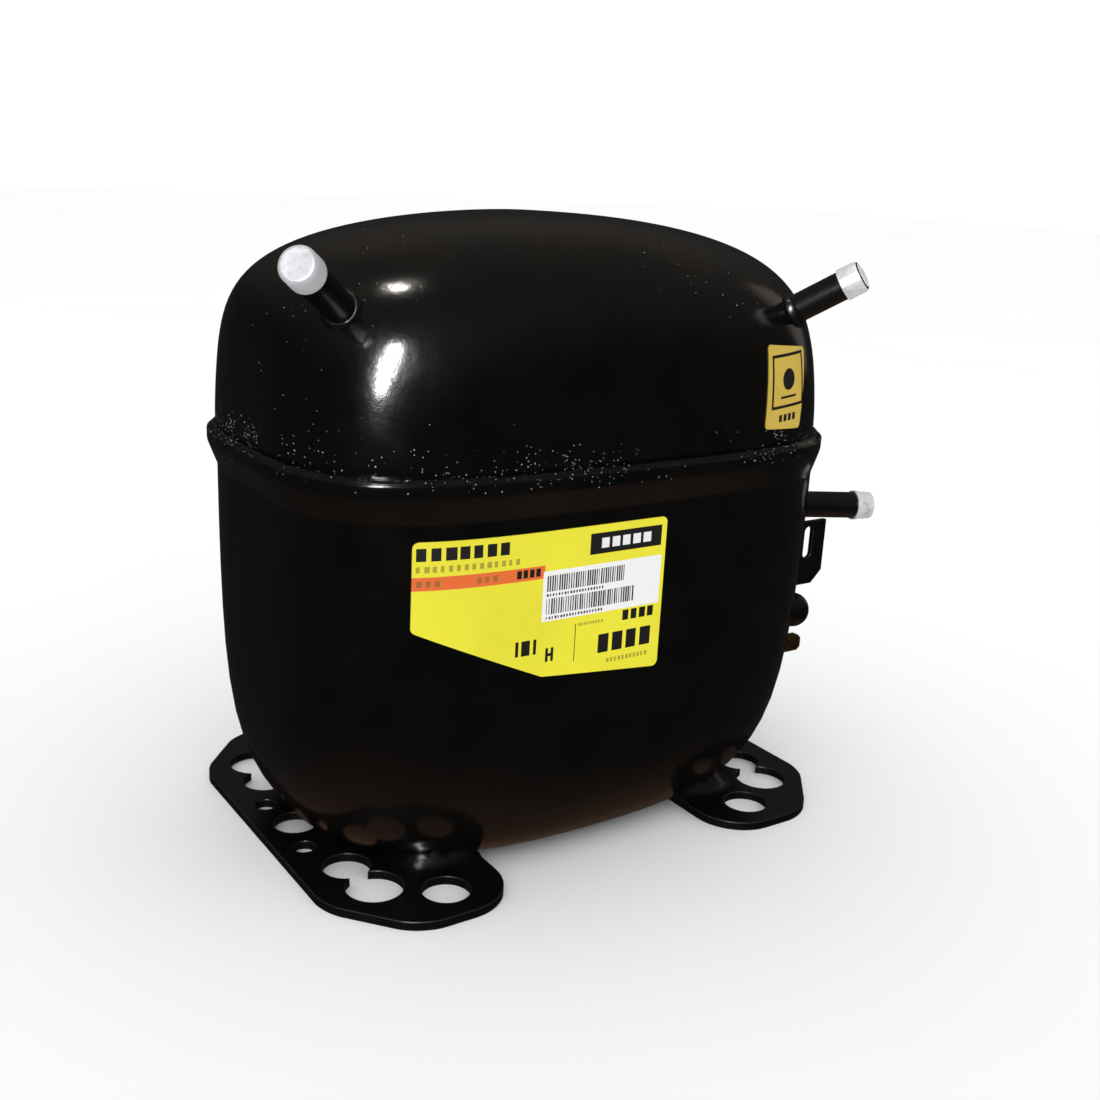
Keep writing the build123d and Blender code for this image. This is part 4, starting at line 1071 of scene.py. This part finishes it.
class COMPRESSOR_OT_dome(bpy.types.Operator):
    """Models the dome with its crown, shoulder and skirt"""
    bl_idname = "compressor.dome"
    bl_label = "Dome"

    def execute(self, context):
        outlines, crisp = dome_outlines()
        can_piece(outlines, crisp, "dome", "upper_shell")
        return {"FINISHED"}


class COMPRESSOR_OT_weld_bead(bpy.types.Operator):
    """Lays the rippled ring weld between the rim and the dome"""
    bl_idname = "compressor.weld_bead"
    bl_label = "Ring weld"

    def execute(self, context):
        finish_piece(weld_bead_mesh(), "ring_weld", "housing", FINISHES["shell_paint"],
                     ("seam_weld",), flat_angle=60.0)
        return {"FINISHED"}


class COMPRESSOR_OT_feet(bpy.types.Operator):
    """Models the two pressed base feet"""
    bl_idname = "compressor.feet"
    bl_label = "Base feet"

    def execute(self, context):
        for side, name in ((-1, "left"), (1, "right")):
            finish_piece(foot_mesh(side), name + "_foot", "housing", FINISHES["bracket_paint"],
                         ("base_foot_" + name,))
        return {"FINISHED"}


class COMPRESSOR_OT_connectors(bpy.types.Operator):
    """Models the three pipe connectors, their brazed feet and their caps"""
    bl_idname = "compressor.connectors"
    bl_label = "Connectors and caps"

    def execute(self, context):
        for number, (kind, (foot, aim, reach, cap_slot)) in enumerate(CONNECTORS.items()):
            place = aimed(foot, aim)
            finish_piece(tube_mesh(reach), kind + "_tube", "housing",
                         FINISHES["bracket_paint"], (kind + "_connector",), place=place)
            finish_piece(braze_mesh(3.7 * number), kind + "_braze", "housing",
                         FINISHES["bracket_paint"], (kind + "_braze_ring",), flat_angle=70.0, place=place)
            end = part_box(kind + "_cap")
            middle = (end[0] + end[1]) / 2
            along = (middle - Vector(foot)).dot(Vector(aim).normalized()) + pipes().cap_length / 2
            finish_piece(cap_mesh(kind), kind + "_dust_cap", kind + "_cap_body",
                         FINISHES["cap_aluminium" if kind == "suction" else "cap_coated"],
                         (kind + "_cap",), place=place @ Matrix.Translation((0, 0, along)))
        return {"FINISHED"}


class COMPRESSOR_OT_stage(bpy.types.Operator):
    """Sets the pale floor, the soft lamps, the surroundings and the camera"""
    bl_idname = "compressor.stage"
    bl_label = "Stage"

    def execute(self, context):
        make_floor()
        make_lamps()
        reflected_lamps()
        make_world()
        make_camera()
        context.scene.view_settings.view_transform = "Standard"
        return {"FINISHED"}


class COMPRESSOR_PT_panel(bpy.types.Panel):
    """Lists the sizes, the finishes and the steps"""
    bl_label = "Hermetic Compressor"
    bl_idname = "COMPRESSOR_PT_panel"
    bl_space_type = "VIEW_3D"
    bl_region_type = "UI"
    bl_category = "Compressor"

    def draw(self, context):
        scene = context.scene
        for group in (scene.compressor_can, scene.compressor_pipes, scene.compressor_looks,
                      scene.compressor_stage):
            box = self.layout.box()
            for name in type(group).__annotations__:
                box.prop(group, name)
        for step in STEPS:
            self.layout.operator(step.bl_idname)


STEPS = (COMPRESSOR_OT_finishes, COMPRESSOR_OT_lower_can, COMPRESSOR_OT_dome, COMPRESSOR_OT_weld_bead,
         COMPRESSOR_OT_feet, COMPRESSOR_OT_connectors, COMPRESSOR_OT_stage)
GROUPS = (CanSizes, PipeSizes, FinishLook, StageLook)
POINTERS = {"compressor_can": CanSizes, "compressor_pipes": PipeSizes, "compressor_looks": FinishLook,
            "compressor_stage": StageLook}


def register():
    for kind in GROUPS + STEPS + (COMPRESSOR_PT_panel,):
        bpy.utils.register_class(kind)
    for name, kind in POINTERS.items():
        setattr(bpy.types.Scene, name, bpy.props.PointerProperty(type=kind))


def unregister():
    for name in POINTERS:
        delattr(bpy.types.Scene, name)
    for kind in reversed(GROUPS + STEPS + (COMPRESSOR_PT_panel,)):
        bpy.utils.unregister_class(kind)


def main():
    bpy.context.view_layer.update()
    register()
    for step in STEPS:
        area, name = step.bl_idname.split(".")
        getattr(getattr(bpy.ops, area), name)()


if __name__ == "__main__":
    main()
